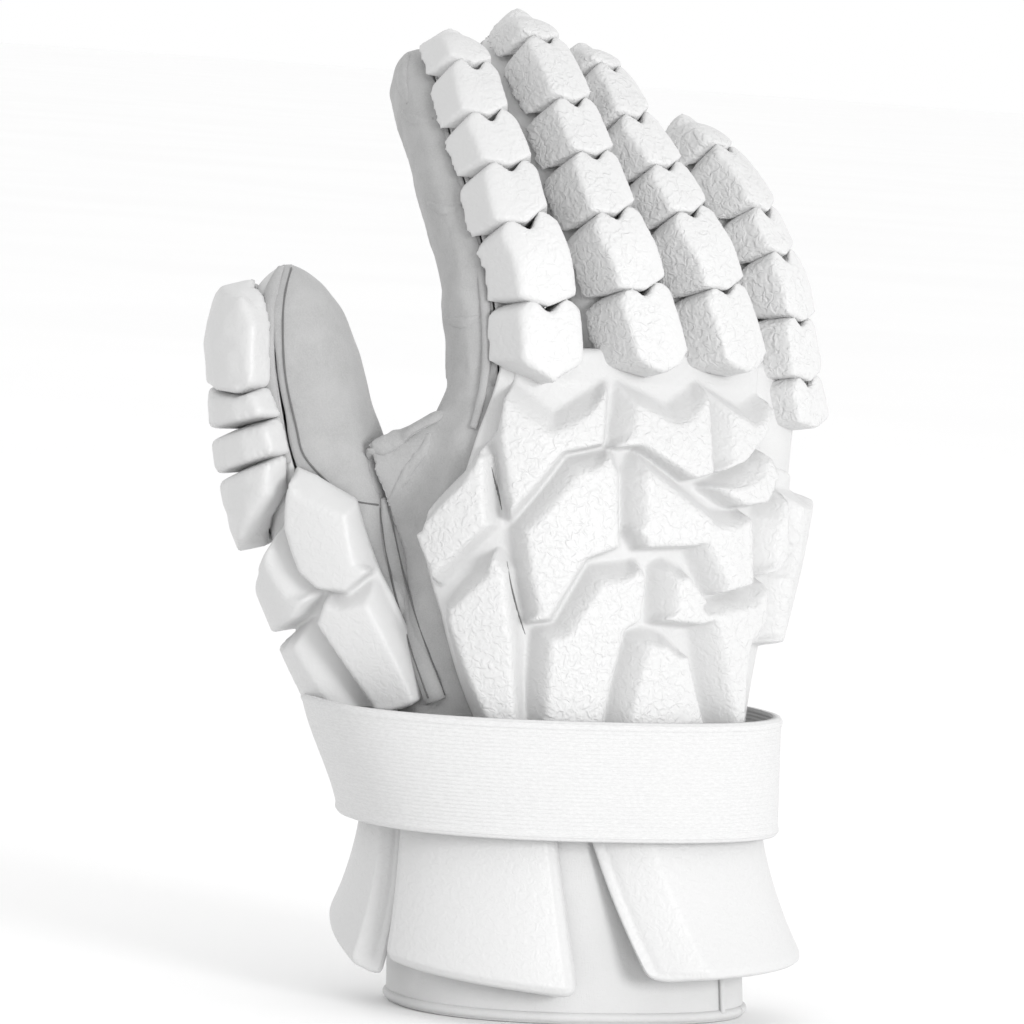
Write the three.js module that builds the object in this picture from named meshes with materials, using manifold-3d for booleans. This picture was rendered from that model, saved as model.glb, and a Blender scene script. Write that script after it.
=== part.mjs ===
// A right-hand lacrosse glove standing on its cuff with the fingers up: a hollow suede and cloth hand,
// moulded foam on its back, rows of foam rolls on the fingers and thumb, cuff flaps and a wrist strap.
// Millimetres, +Z up to the fingertips, the back of the hand towards -Y, the thumb towards -X.
import * as THREE from "three";
import { mergeVertices } from "three/addons/utils/BufferGeometryUtils.js";
import Module from "manifold-3d";

// Driving dimensions
const SPAN = 200; // across the splayed thumb and the little finger
const KNUCKLE_HEIGHT = 200; // cuff's foot to the roots of the fingers
const FINGER_REACH = 120; // height of the middle finger above its root
const FINGER_WIDTH = 28;
const FINGER_DEPTH = 29;
const SUEDE = 1.8;
const FINGER_BACKING = 1.5;
const THUMB_FOOT = 92; // where the thumb walls start, under the strap
const FINGER_FOOT = -0.06; // where the finger walls start, to be trimmed on the plate they stand on
const PLATE = 1.8; // suede that joins the fingers
const ROLL_HEIGHT = 13.5; // foam above the finger's back
const ROLL_WIDTH = 30;
const ROLL_CROWN = 0.64; // the roll's flat top as a share of its width
const ROLL_GAP = 1.8;
const POINT = 3; // how far a roll's middle points to the wrist
const NOTCH = 4.5; // how far the next roll's top edge gives way to it
const SHEET = 3; // thin foam that joins the moulded pads
const PAD_HEIGHT = 10.5;
const PAD_SLOPE = 2.2; // how far a pad's top is set in from its foot
const THUMB_PAD_HEIGHT = 10;
const THUMB_PAD_SLOPE = 1.4;
const CUFF_WALL = 5;
const CUFF_HEIGHT = 84;
const CUFF_LIFT = 2; // the cuff's outside over the hand's own surface
const FLAP_THICKNESS = 9.5; // at the foot
const FLAP_TOP_THICKNESS = 3; // under the strap
const FLAP_TOP = 90;
const STRAP_FOOT = 60;
const STRAP_WIDTH = 38;
const STRAP_THICKNESS = 2.6;
const CLEARANCE = 0.5; // between pieces that touch
const THUMB_CLEARANCE = 0.9; // more, on a tighter curve
const ROUNDNESS = 2.4; // 2 is an ellipse, more is boxier
const LONGEST_EDGE = 14; // a flat-made pad is split down to this before it is wrapped on the hand
const LONGEST_EDGE_THUMB = 10;

const WHITE_FOAM = { color: 0xf2f2f2, roughness: 0.55, metalness: 0 };
const WHITE_CLOTH = { color: 0xeeeeee, roughness: 0.8, metalness: 0 };
const GREY_SUEDE = { color: 0xc4c4c4, roughness: 0.95, metalness: 0 };

const wasm = await Module();
wasm.setup();
const glove = new THREE.Group();

// Section rows. up is a share of the row's own reach, x and y shares of SPAN, wide and thick half sizes
// as shares of SPAN on the hand and thumb and of the finger's half sizes on a finger, turn in degrees.
const HAND_ROWS = [
  { up: 0.0, x: 0.0, y: 0.0, wide: 0.29, thick: 0.19, turn: 24 },
  { up: 0.3, x: -0.025, y: 0.0, wide: 0.285, thick: 0.185, turn: 24 },
  { up: 0.49, x: -0.04, y: 0.0, wide: 0.3, thick: 0.18, turn: 24 },
  { up: 0.65, x: -0.03, y: 0.0, wide: 0.31, thick: 0.175, turn: 24 },
  { up: 0.8, x: -0.015, y: 0.01, wide: 0.325, thick: 0.165, turn: 27 },
  { up: 0.925, x: 0.005, y: 0.03, wide: 0.325, thick: 0.14, turn: 31 },
  { up: 1.02, x: 0.025, y: 0.05, wide: 0.32, thick: 0.11, turn: 34 },
];
const THUMB_ROWS = [
  { up: 0.4, x: -0.25, y: -0.03, wide: 0.11, thick: 0.1, turn: -100 },
  { up: 0.49, x: -0.29, y: -0.035, wide: 0.115, thick: 0.11, turn: -100 },
  { up: 0.63, x: -0.35, y: -0.04, wide: 0.12, thick: 0.115, turn: -102 },
  { up: 0.78, x: -0.425, y: -0.04, wide: 0.115, thick: 0.11, turn: -105 },
  { up: 0.9, x: -0.47, y: -0.035, wide: 0.11, thick: 0.105, turn: -108 },
  { up: 1.0, x: -0.495, y: -0.03, wide: 0.1, thick: 0.095, turn: -108 },
  { up: 1.1, x: -0.52, y: -0.025, wide: 0.09, thick: 0.085, turn: -108 },
  { up: 1.165, x: -0.53, y: -0.02, wide: 0.075, thick: 0.07, turn: -108 },
];
const FINGERS = [
  {
    name: "index", turn: 24, shift: [7, 4], rollWide: [1.1, 0.8], seam: -18, top: 0.82, heel: 8,
    rolls: [0.03, 0.18, 0.33, 0.455, 0.575, 0.69, 0.82],
    rows: [
      { up: 0.0, x: -0.182, y: -0.08, wide: 1.18, thick: 1.0 },
      { up: 0.26, x: -0.2, y: -0.065, wide: 1.18, thick: 1.0 },
      { up: 0.39, x: -0.235, y: -0.04, wide: 1.13, thick: 0.98 },
      { up: 0.51, x: -0.263, y: 0.0, wide: 1.06, thick: 0.95 },
      { up: 0.64, x: -0.298, y: 0.056, wide: 1.0, thick: 0.9 },
      { up: 0.82, x: -0.34, y: 0.16, wide: 0.92, thick: 0.85 },
    ],
  },
  {
    name: "middle", turn: 33, shift: [2, 1], rollWide: [1.0, 0.76], seam: -70, top: 0.87, heel: 7,
    rolls: [0.04, 0.21, 0.36, 0.5, 0.635, 0.765, 0.88],
    rows: [
      { up: 0.0, x: 0.008, y: -0.01, wide: 0.98, thick: 1.0 },
      { up: 0.28, x: -0.044, y: 0.005, wide: 0.98, thick: 1.0 },
      { up: 0.42, x: -0.088, y: 0.034, wide: 0.95, thick: 0.98 },
      { up: 0.55, x: -0.124, y: 0.074, wide: 0.9, thick: 0.95 },
      { up: 0.69, x: -0.163, y: 0.127, wide: 0.86, thick: 0.9 },
      { up: 0.87, x: -0.225, y: 0.225, wide: 0.82, thick: 0.85 },
    ],
  },
  {
    name: "ring", turn: 43, shift: [0, 0], rollWide: [0.95, 0.74], seam: -74, top: 0.8, heel: 6,
    rolls: [0.04, 0.215, 0.365, 0.475, 0.595, 0.705, 0.805],
    rows: [
      { up: 0.0, x: 0.137, y: 0.08, wide: 0.95, thick: 0.98 },
      { up: 0.29, x: 0.081, y: 0.096, wide: 0.95, thick: 0.98 },
      { up: 0.42, x: 0.03, y: 0.122, wide: 0.92, thick: 0.96 },
      { up: 0.52, x: -0.01, y: 0.15, wide: 0.88, thick: 0.93 },
      { up: 0.63, x: -0.057, y: 0.188, wide: 0.83, thick: 0.89 },
      { up: 0.8, x: -0.125, y: 0.272, wide: 0.78, thick: 0.84 },
    ],
  },
  {
    name: "little", turn: 53, shift: [0, 0], rollWide: [0.9, 0.74], seam: -74, top: 0.62, heel: 3,
    rolls: [-0.12, 0.01, 0.165, 0.285, 0.395, 0.51, 0.63],
    rows: [
      { up: -0.04, x: 0.232, y: 0.19, wide: 0.9, thick: 0.94 },
      { up: 0.08, x: 0.218, y: 0.192, wide: 0.9, thick: 0.94 },
      { up: 0.22, x: 0.205, y: 0.201, wide: 0.88, thick: 0.92 },
      { up: 0.31, x: 0.18, y: 0.214, wide: 0.86, thick: 0.9 },
      { up: 0.44, x: 0.14, y: 0.24, wide: 0.83, thick: 0.86 },
      { up: 0.62, x: 0.05, y: 0.31, wide: 0.78, thick: 0.8 },
    ],
  },
];

// Moulded pads: corners as [degrees round the hand from its back, share of KNUCKLE_HEIGHT].
const HAND_SHEET = [
  [-50, 0.94], [-57, 1.03], [-34, 0.965], [-21, 1.02], [-17, 1.015], [0, 0.985], [9, 1.018], [25, 0.985], [33, 1.01],
  [34, 0.94], [40, 0.9], [70, 0.88], [74, 0.75],
  [72, 0.55], [66, 0.47], [-42, 0.47], [-57, 0.64], [-71, 0.75], [-71, 0.8], [-58, 0.87],
];
const HAND_PADS = [
  [[-56, 1.025], [-34, 0.96], [-22, 1.01], [-18, 0.925], [-28, 0.91], [-33, 0.85], [-38, 0.8], [-43, 0.845], [-50, 0.925]],
  [[-17, 1.01], [-9, 0.998], [0, 0.98], [8, 1.012], [15, 0.885], [9, 0.875], [-8, 0.925], [-16, 0.92]],
  [[10, 1.03], [17, 1.005], [25, 0.98], [31, 1.0], [30, 0.95], [24, 0.905], [16, 0.885]],
  [[-37, 0.79], [-32, 0.84], [-27, 0.9], [-16, 0.915], [-12, 0.88], [-7, 0.765], [-15, 0.745], [-22, 0.645], [-28, 0.64], [-33, 0.715]],
  [[-8, 0.915], [-4, 0.905], [19, 0.825], [29, 0.825], [35, 0.71], [24, 0.695], [14, 0.77], [-1, 0.765], [-6, 0.795], [-10, 0.88]],
  [[15, 0.865], [26, 0.9], [31, 0.925], [37, 0.885], [34, 0.84], [25, 0.835]],
  [[36, 0.82], [41, 0.865], [48, 0.755], [44, 0.73], [38, 0.725]],
  [[-26, 0.63], [-21, 0.64], [-14, 0.73], [-1, 0.74], [2, 0.72], [3, 0.65], [-1, 0.635], [-4, 0.515], [-25, 0.512]],
  [[5, 0.735], [8, 0.745], [14, 0.73], [22, 0.685], [36, 0.7], [41, 0.72], [44, 0.65], [39, 0.615], [41, 0.525], [32, 0.52], [21, 0.645], [8, 0.65]],
  [[-2, 0.515], [1, 0.625], [6, 0.635], [12, 0.625], [18, 0.6], [26, 0.52]],
  [[44, 0.86], [68, 0.85], [68, 0.72], [60, 0.61], [51, 0.615], [48, 0.72], [50, 0.77]],
  [[-53, 0.92], [-49, 0.9], [-42, 0.79], [-57, 0.69], [-68, 0.765], [-67, 0.795], [-58, 0.86]],
  [[-40, 0.75], [-54, 0.66], [-53, 0.635], [-41, 0.512], [-28, 0.512], [-30, 0.6], [-35, 0.72]],
];
const THUMB_PADS = {
  thumb_cap: [[-46, 1.12], [-20, 1.135], [36, 1.14], [74, 1.12], [86, 1.08], [80, 0.995], [64, 0.985], [24, 1.01], [-40, 1.01], [-58, 1.06]],
  thumb_roll_1: [[-56, 1.0], [20, 1.0], [62, 0.975], [78, 0.98], [86, 0.94], [20, 0.935], [-56, 0.935]],
  thumb_roll_2: [[-56, 0.925], [20, 0.925], [86, 0.93], [88, 0.885], [20, 0.875], [-56, 0.875]],
  thumb_roll_3: [[-56, 0.865], [20, 0.865], [84, 0.875], [76, 0.83], [42, 0.79], [20, 0.775], [-56, 0.775]],
};
const THUMB_SHEET = [
  [-56, 0.745], [20, 0.74], [44, 0.765], [74, 0.8], [92, 0.86], [106, 0.84], [128, 0.79], [122, 0.68], [124, 0.44], [-50, 0.44],
];
const THUMB_GUARD_PADS = [
  [[-52, 0.735], [20, 0.73], [44, 0.755], [66, 0.785], [75, 0.69], [60, 0.668], [18, 0.65], [-52, 0.65]],
  [[89, 0.855], [104, 0.83], [126, 0.785], [116, 0.69], [95, 0.675], [80, 0.695], [74, 0.725], [75, 0.785]],
  [[24, 0.638], [60, 0.652], [79, 0.46], [40, 0.46]],
  [[70, 0.65], [82, 0.68], [114, 0.67], [120, 0.46], [86, 0.46]],
  [[-48, 0.63], [14, 0.63], [30, 0.46], [-36, 0.46]],
];
// Cuff flaps: degrees round the cuff at the strap and at the foot, the foot's two corner heights, and how
// far the foot stands off.
const FLAPS = {
  flap_thumb: { top: [-128, -76], foot: [-130, -77], low: [28, 10], flare: 9 },
  flap_middle: { top: [-73, -21], foot: [-73, -14], low: [16, 9], flare: 4 },
  flap_little: { top: [-17, 82], foot: [4, 88], low: [15, 20], flare: 9 },
};
const STRAP_ROWS = [
  { up: 0, x: -0.032, y: -0.022, wide: 0.364, thick: 0.248, turn: 24 },
  { up: 1, x: -0.07, y: -0.022, wide: 0.4, thick: 0.253, turn: 24 },
];
// The web of suede between thumb and palm: shares of KNUCKLE_HEIGHT at its foot and its edge.
const WEB = { thumbSide: [0.6, 0.88], handSide: [0.62, 1.0], thumbDegrees: 128, handDegrees: -78, depth: -3, sag: 4 };

// Catmull-Rom through the rows' columns, by height.
function mix(rows, up) {
  const last = rows.length - 1;
  let i = 0;
  while (i < last - 1 && up > rows[i + 1].up) i++;
  const [a, b, c, d] = [rows[Math.max(i - 1, 0)], rows[i], rows[i + 1], rows[Math.min(i + 2, last)]];
  const t = (up - b.up) / (c.up - b.up);
  const found = {};
  for (const key of Object.keys(b)) {
    const [p, q, r, s] = [a[key], b[key], c[key], d[key]];
    found[key] =
      0.5 * (2 * q + (r - p) * t + (2 * p - 5 * q + 4 * r - s) * t * t + (3 * q - p - 3 * r + s) * t ** 3);
    if (t < 0 || t > 1) found[key] = q + (r - q) * t;
  }
  return found;
}

// A limb is a tube through its rows. level limbs have horizontal sections, the others square ones.
function limb({ rows, foot, reach, halfWidth, halfDepth, turn, level, tip }) {
  const centre = (up) => {
    const row = mix(rows, up);
    return new THREE.Vector3(row.x * SPAN, row.y * SPAN, foot + up * reach);
  };
  const frame = (up) => {
    const row = mix(rows, up);
    const angle = THREE.MathUtils.degToRad(turn ?? row.turn);
    const along = level ? new THREE.Vector3(0, 0, 1) : centre(up + 0.02).sub(centre(up - 0.02)).normalize();
    const out = new THREE.Vector3(Math.sin(angle), -Math.cos(angle), 0);
    out.addScaledVector(along, -out.dot(along)).normalize();
    const across = new THREE.Vector3().crossVectors(along, out);
    return { centre: centre(up), across, out, wide: row.wide * halfWidth, thick: row.thick * halfDepth };
  };
  const round = (up) => {
    if (!tip || up < tip.from) return 1;
    return Math.sqrt(Math.max(1 - ((up - tip.from) / (tip.to - tip.from)) ** 2, 0.008));
  };
  // The point at degrees round from the back, lift above the surface.
  const point = (degrees, up, lift) => {
    const f = frame(up);
    const angle = THREE.MathUtils.degToRad(degrees);
    const [s, c] = [Math.sin(angle), Math.cos(angle)];
    const r = (Math.abs(s) ** ROUNDNESS + Math.abs(c) ** ROUNDNESS) ** (-1 / ROUNDNESS);
    const k = round(up);
    const wide = Math.max(f.wide * k + lift, 0.4);
    const thick = Math.max(f.thick * k + lift, 0.4);
    return f.centre.addScaledVector(f.across, wide * s * r).addScaledVector(f.out, thick * c * r);
  };
  return { frame, point, skin: SUEDE / reach };
}

// A closed geometry from points and faces, turned right side out, with unused corners left out.
function closed(points, faces) {
  let volume = 0;
  for (const [a, b, c] of faces) volume += points[a].dot(new THREE.Vector3().crossVectors(points[b], points[c]));
  const index = faces.flatMap(([a, b, c]) => (volume > 0 ? [a, b, c] : [a, c, b]));
  return new THREE.BufferGeometry().setFromPoints(points).setIndex(index);
}

// A slab between two grids of points, low(s, t) and high(s, t), with s and t from 0 to 1.
function slab(across, along, low, high, ring = false) {
  const points = [];
  const columns = ring ? across : across + 1;
  for (const side of [low, high])
    for (let j = 0; j <= along; j++) for (let i = 0; i < columns; i++) points.push(side(i / across, j / along));
  const at = (side, i, j) => side * columns * (along + 1) + j * columns + (i % columns);
  const faces = [];
  const quad = (a, b, c, d) => faces.push([a, b, c], [a, c, d]);
  for (let i = 0; i < across; i++) {
    for (let j = 0; j < along; j++) {
      quad(at(0, i, j), at(0, i, j + 1), at(0, i + 1, j + 1), at(0, i + 1, j));
      quad(at(1, i, j), at(1, i + 1, j), at(1, i + 1, j + 1), at(1, i, j + 1));
    }
    quad(at(0, i, 0), at(0, i + 1, 0), at(1, i + 1, 0), at(1, i, 0));
    quad(at(0, i + 1, along), at(0, i, along), at(1, i, along), at(1, i + 1, along));
  }
  for (let j = 0; j < along && !ring; j++) {
    quad(at(0, 0, j + 1), at(0, 0, j), at(1, 0, j), at(1, 0, j + 1));
    quad(at(0, across, j), at(0, across, j + 1), at(1, across, j + 1), at(1, across, j));
  }
  return closed(points, faces);
}

const solidOf = (geometry) => {
  const bare = new THREE.BufferGeometry().setAttribute("position", geometry.getAttribute("position"));
  bare.setIndex(geometry.index);
  const merged = mergeVertices(bare, 1e-4);
  const mesh = { numProp: 3, vertProperties: merged.attributes.position.array, triVerts: new Uint32Array(merged.index.array) };
  return new wasm.Manifold(new wasm.Mesh(mesh));
};

const geometryOf = (solid) => {
  const mesh = solid.getMesh();
  const points = [];
  for (let i = 0; i < mesh.vertProperties.length; i += mesh.numProp)
    points.push(new THREE.Vector3(...mesh.vertProperties.slice(i, i + 3)));
  const faces = [];
  for (let i = 0; i < mesh.triVerts.length; i += 3) faces.push([...mesh.triVerts.slice(i, i + 3)]);
  return closed(points, faces);
};

const largest = (solid) => solid.decompose().sort((a, b) => b.volume() - a.volume())[0];

function add(name, geometry, finish) {
  const mesh = new THREE.Mesh(geometry, new THREE.MeshStandardMaterial(finish));
  mesh.name = name;
  glove.add(mesh);
}

// A pad in flat form: its outline at the foot, and the same outline set in at the top.
function flatPad(corners, low, high, slope) {
  const outline = THREE.ShapeUtils.area(corners) > 0 ? corners : [...corners].reverse();
  const count = outline.length;
  const inward = (from, to) => new THREE.Vector2(from.y - to.y, to.x - from.x).normalize();
  const inset = outline.map((corner, i) => {
    const before = inward(outline[(i + count - 1) % count], corner);
    const half = before.add(inward(corner, outline[(i + 1) % count]));
    return corner.clone().addScaledVector(half, slope / Math.max(half.lengthSq() / 2, 0.6));
  });
  const points = [
    ...outline.map((p) => new THREE.Vector3(p.x, p.y, low)),
    ...inset.map((p) => new THREE.Vector3(p.x, p.y, high)),
  ];
  const faces = [];
  for (const face of THREE.ShapeUtils.triangulateShape(outline, [])) {
    const upward = THREE.ShapeUtils.area(face.map((k) => outline[k])) > 0;
    const [a, b, c] = upward ? face : [face[0], face[2], face[1]];
    faces.push([a, c, b], [a + count, b + count, c + count]);
  }
  outline.forEach((_, i) => {
    const next = (i + 1) % count;
    faces.push([i, next, next + count], [i, next + count, i + count]);
  });
  return closed(points, faces);
}

// Splits every edge that is longer than the limit, the same way on both sides of it.
function split(geometry, limit) {
  const points = [];
  const spots = geometry.getAttribute("position");
  for (let i = 0; i < spots.count; i++) points.push(new THREE.Vector3().fromBufferAttribute(spots, i));
  let faces = [];
  for (let i = 0; i < geometry.index.count; i += 3) faces.push([0, 1, 2].map((k) => geometry.index.getX(i + k)));
  for (let busy = true; busy; ) {
    busy = false;
    const middles = new Map();
    const middle = (a, b) => {
      if (points[a].distanceTo(points[b]) <= limit) return -1;
      const key = Math.min(a, b) + ":" + Math.max(a, b);
      if (!middles.has(key)) {
        middles.set(key, points.length);
        points.push(points[a].clone().lerp(points[b], 0.5));
      }
      return middles.get(key);
    };
    const next = [];
    for (const [a, b, c] of faces) {
      const [x, y, z] = [middle(a, b), middle(b, c), middle(c, a)];
      const cut = [x, y, z].filter((m) => m >= 0).length;
      if (cut) busy = true;
      if (cut === 3) next.push([a, x, z], [x, b, y], [z, y, c], [x, y, z]);
      else if (cut === 0) next.push([a, b, c]);
      else {
        const ring = [a, x, b, y, c, z].filter((m) => m >= 0);
        const start = cut === 1 ? ring.findIndex((m) => m === x || m === y || m === z) : 0;
        const hub = cut === 2 ? ring.findIndex((m, i) => isMiddle(m) && isMiddle(ring[(i + 2) % 5])) : start;
        for (let k = 1; k < ring.length - 1; k++)
          next.push([ring[hub], ring[(hub + k) % ring.length], ring[(hub + k + 1) % ring.length]]);
        function isMiddle(m) {
          return m === x || m === y || m === z;
        }
      }
    }
    faces = next;
  }
  return { points, faces };
}

// Wraps a flat-made solid (x across in millimetres, y up, z lift) on a limb.
const perDegree = (body, up) => {
  const f = body.frame(up);
  return ((f.wide + f.thick) * Math.PI) / 360;
};
function wrap(geometry, body, scale, limit) {
  const { points, faces } = split(geometry, limit);
  return closed(points.map((p) => body.point(p.x / scale, p.y / KNUCKLE_HEIGHT, p.z)), faces);
}
const flatOutline = (corners, scale) => corners.map(([d, up]) => new THREE.Vector2(d * scale, up * KNUCKLE_HEIGHT));

const hand = limb({ rows: HAND_ROWS, foot: 0, reach: KNUCKLE_HEIGHT, halfWidth: SPAN, halfDepth: SPAN, level: true });
const thumb = limb({
  rows: THUMB_ROWS, foot: 0, reach: KNUCKLE_HEIGHT, halfWidth: SPAN, halfDepth: SPAN, tip: { from: 1.05, to: 1.17 },
});
const fingers = FINGERS.map((finger) => ({
  ...finger,
  body: limb({
    rows: finger.rows, foot: KNUCKLE_HEIGHT + 4, reach: FINGER_REACH, turn: finger.turn,
    halfWidth: FINGER_WIDTH / 2, halfDepth: FINGER_DEPTH / 2,
    tip: { from: finger.top - 0.09, to: finger.top + 0.02 },
  }),
}));

// A limb's whole body as a solid, to cut hollows and joins with.
function core(body, from, to, lift, steps = 14) {
  const points = [];
  const sides = steps > 2 ? 40 : 24;
  for (let j = 0; j <= steps; j++)
    for (let i = 0; i < sides; i++) points.push(body.point((i * 360) / sides, from + ((to - from) * j) / steps, lift));
  const faces = [];
  for (let j = 0; j < steps; j++)
    for (let i = 0; i < sides; i++) {
      const [a, b] = [j * sides + i, j * sides + ((i + 1) % sides)];
      faces.push([a, b, b + sides], [a, b + sides, a + sides]);
    }
  const top = steps * sides;
  for (let i = 1; i < sides - 1; i++) faces.push([0, i + 1, i], [top, top + i, top + i + 1]);
  return solidOf(closed(points, faces));
}

// A wall of one limb between two angles.
function wall(body, [from, to], [low, high], [inner, outer], across, along) {
  const spot = (s, t, lift) => body.point(from + (to - from) * s, low + (high - low) * t, lift);
  return slab(across, along, (s, t) => spot(s, t, inner), (s, t) => spot(s, t, outer));
}

// A limb's wall between two angles, in rows that crowd towards its tip. The inner rows stop a wall's
// thickness short of the end, so the tip is closed.
const eased = (t) => 1 - (1 - t) ** 1.7;
function tipWall(body, [from, to], [foot, end], thickness, across, rows) {
  const spot = (s, t, lift, highest) =>
    body.point(from + (to - from) * s, Math.min(foot + (end - foot) * eased(t), highest), lift);
  return slab(across, rows, (s, t) => spot(s, t, -thickness, end - body.skin), (s, t) => spot(s, t, 0, end));
}

const trimmed = (geometry, ...bodies) =>
  geometryOf(largest(bodies.reduce((solid, body) => solid.subtract(body), solidOf(geometry))));
const below = (height) => wasm.Manifold.cube([2 * SPAN, 2 * SPAN, height]).translate([-SPAN, -SPAN, 0]);

function buildFingers() {
  const belowPlate = below(KNUCKLE_HEIGHT + PLATE / 2 + CLEARANCE);
  for (const { name, body, top, seam } of fingers) {
    const reach = [FINGER_FOOT, top + 0.02];
    add("suede_" + name, trimmed(tipWall(body, [77, seam + 358], reach, SUEDE, 8, 8), belowPlate), GREY_SUEDE);
    const backing = tipWall(body, [seam, 74], reach, FINGER_BACKING, 5, 8);
    add("backing_" + name, trimmed(backing, belowPlate), WHITE_CLOTH);
  }
}

// The suede between the fingers' roots: the hand's section less the finger hollows and the lowest roll.
function buildCrotch() {
  const [low, high] = [1 - PLATE / KNUCKLE_HEIGHT / 2, 1 + PLATE / KNUCKLE_HEIGHT / 2];
  let plate = core(hand, low, high, 0, 1);
  for (const { body } of fingers) plate = plate.subtract(core(body, -0.2, 0.1, -SUEDE, 2));
  const roll = glove.getObjectByName("roll_little_1").geometry;
  const centre = new THREE.Box3().setFromBufferAttribute(roll.getAttribute("position")).getCenter(new THREE.Vector3());
  const spread = 1 + (8 * CLEARANCE) / ROLL_WIDTH;
  const room = solidOf(roll).hull().translate(centre.clone().negate().toArray()).scale(spread).translate(centre.toArray());
  add("crotch", geometryOf(largest(plate.subtract(room))), GREY_SUEDE);
}

// A roll in a finger's own frame: a flat crown with sloping sides, pointed to the wrist.
function buildRolls() {
  for (const { name, body, rolls, rollWide, shift, top, heel } of fingers) {
    const count = rolls.length - 1;
    for (let k = 0; k < count; k++) {
      const isCap = k + 1 === count;
      const half = (ROLL_WIDTH / 2) * THREE.MathUtils.lerp(rollWide[0], rollWide[1], k / (count - 1));
      const gap = ROLL_GAP / FINGER_REACH / 2;
      const offset = THREE.MathUtils.lerp(shift[0], shift[1], k / (count - 1));
      const spot = (s, t, isTop) => {
        const side = 2 * s - 1;
        const middle = ((1 - Math.abs(side)) * half) / (ROLL_WIDTH / 2) / FINGER_REACH;
        const lowEdge = rolls[k] + gap - (k ? POINT : heel) * middle;
        const highEdge = isCap ? rolls[k + 1] - 0.02 * side * side : rolls[k + 1] - gap - NOTCH * middle;
        const f = body.frame(Math.min(lowEdge + (highEdge - lowEdge) * t, top + 0.02));
        const x = side * half * (isTop ? ROLL_CROWN : 1) + offset;
        const rim = Math.max(1 - Math.abs(x / (f.wide + CLEARANCE)) ** ROUNDNESS, 0) ** (1 / ROUNDNESS);
        const seat = (f.thick + CLEARANCE) * Math.max(rim, 0.62) + CLEARANCE;
        const crown = f.thick + (ROLL_HEIGHT * half) / (ROLL_WIDTH / 2);
        const fall = isCap ? 1 - 0.55 * t * t : 1;
        return f.centre.addScaledVector(f.across, x).addScaledVector(f.out, isTop ? seat + (crown - seat) * fall : seat);
      };
      add("roll_" + name + "_" + (k + 1), slab(4, 2, (s, t) => spot(s, t, false), (s, t) => spot(s, t, true)), WHITE_FOAM);
    }
  }
}

// One moulded piece: a thin sheet with raised pads, made flat and wrapped on the limb.
function moulded(body, sheet, pads, { base, height, slope, limit, at }) {
  const scale = perDegree(body, at);
  let solid = solidOf(flatPad(flatOutline(sheet, scale), base, base + SHEET, 0.5));
  for (const pad of pads) {
    solid = solid.add(solidOf(flatPad(flatOutline(pad, scale), base + SHEET / 2, base + height, slope)));
  }
  return wrap(geometryOf(largest(solid)), body, scale, limit);
}

function buildHand() {
  const thumbHollow = core(thumb, 0.44, 1.0, -SUEDE);
  const palm = wall(hand, [77, 322], [(CUFF_HEIGHT + 0.7 * CLEARANCE) / KNUCKLE_HEIGHT, 0.993], [-SUEDE, 0], 16, 6);
  add("palm", geometryOf(largest(solidOf(palm).subtract(thumbHollow))), GREY_SUEDE);
  const make = { base: CLEARANCE, height: PAD_HEIGHT, slope: PAD_SLOPE, limit: LONGEST_EDGE, at: 0.75 };
  const back = moulded(hand, HAND_SHEET, HAND_PADS, make);
  add("back_foam", back, WHITE_FOAM);
}

function buildThumb() {
  const handBody = core(hand, 0.3, 1.03, CLEARANCE);
  const reach = [0.42, 1.17];
  const underStrap = below(THUMB_FOOT);
  add("suede_thumb", trimmed(tipWall(thumb, [89, 284], reach, SUEDE, 10, 10), handBody, underStrap), GREY_SUEDE);
  const backing = tipWall(thumb, [-73, 86], reach, FINGER_BACKING, 8, 10);
  add("backing_thumb", trimmed(backing, handBody, underStrap), WHITE_CLOTH);
  const clear = core(hand, 0.3, 1.03, 2 * CLEARANCE + SHEET);
  const aboveStrap = below(STRAP_FOOT + STRAP_WIDTH + 2);
  const scale = perDegree(thumb, 0.9);
  const limit = LONGEST_EDGE_THUMB;
  for (const [name, outline] of Object.entries(THUMB_PADS)) {
    const pad = flatPad(flatOutline(outline, scale), THUMB_CLEARANCE, THUMB_PAD_HEIGHT, THUMB_PAD_SLOPE);
    add(name, wrap(pad, thumb, scale, limit), WHITE_FOAM);
  }
  const make = { base: THUMB_CLEARANCE, height: THUMB_PAD_HEIGHT, slope: THUMB_PAD_SLOPE, limit, at: 0.65 };
  const guard = moulded(thumb, THUMB_SHEET, THUMB_GUARD_PADS, make);
  add("thumb_guard", trimmed(guard, clear, aboveStrap), WHITE_FOAM);
  const web = (s, t, side) => {
    const a = thumb.point(WEB.thumbDegrees, THREE.MathUtils.lerp(...WEB.thumbSide, t), WEB.depth);
    const b = hand.point(WEB.handDegrees, THREE.MathUtils.lerp(...WEB.handSide, t), WEB.depth);
    const p = a.lerp(b, s);
    p.z -= 4 * WEB.sag * s * (1 - s) * t;
    p.y += side * SUEDE;
    return p;
  };
  const sheet = slab(6, 6, (s, t) => web(s, t, 0), (s, t) => web(s, t, 1));
  const between = core(thumb, 0.42, 1.17, CLEARANCE).add(handBody);
  add("thumb_web", trimmed(sheet, between), GREY_SUEDE);
}

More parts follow.
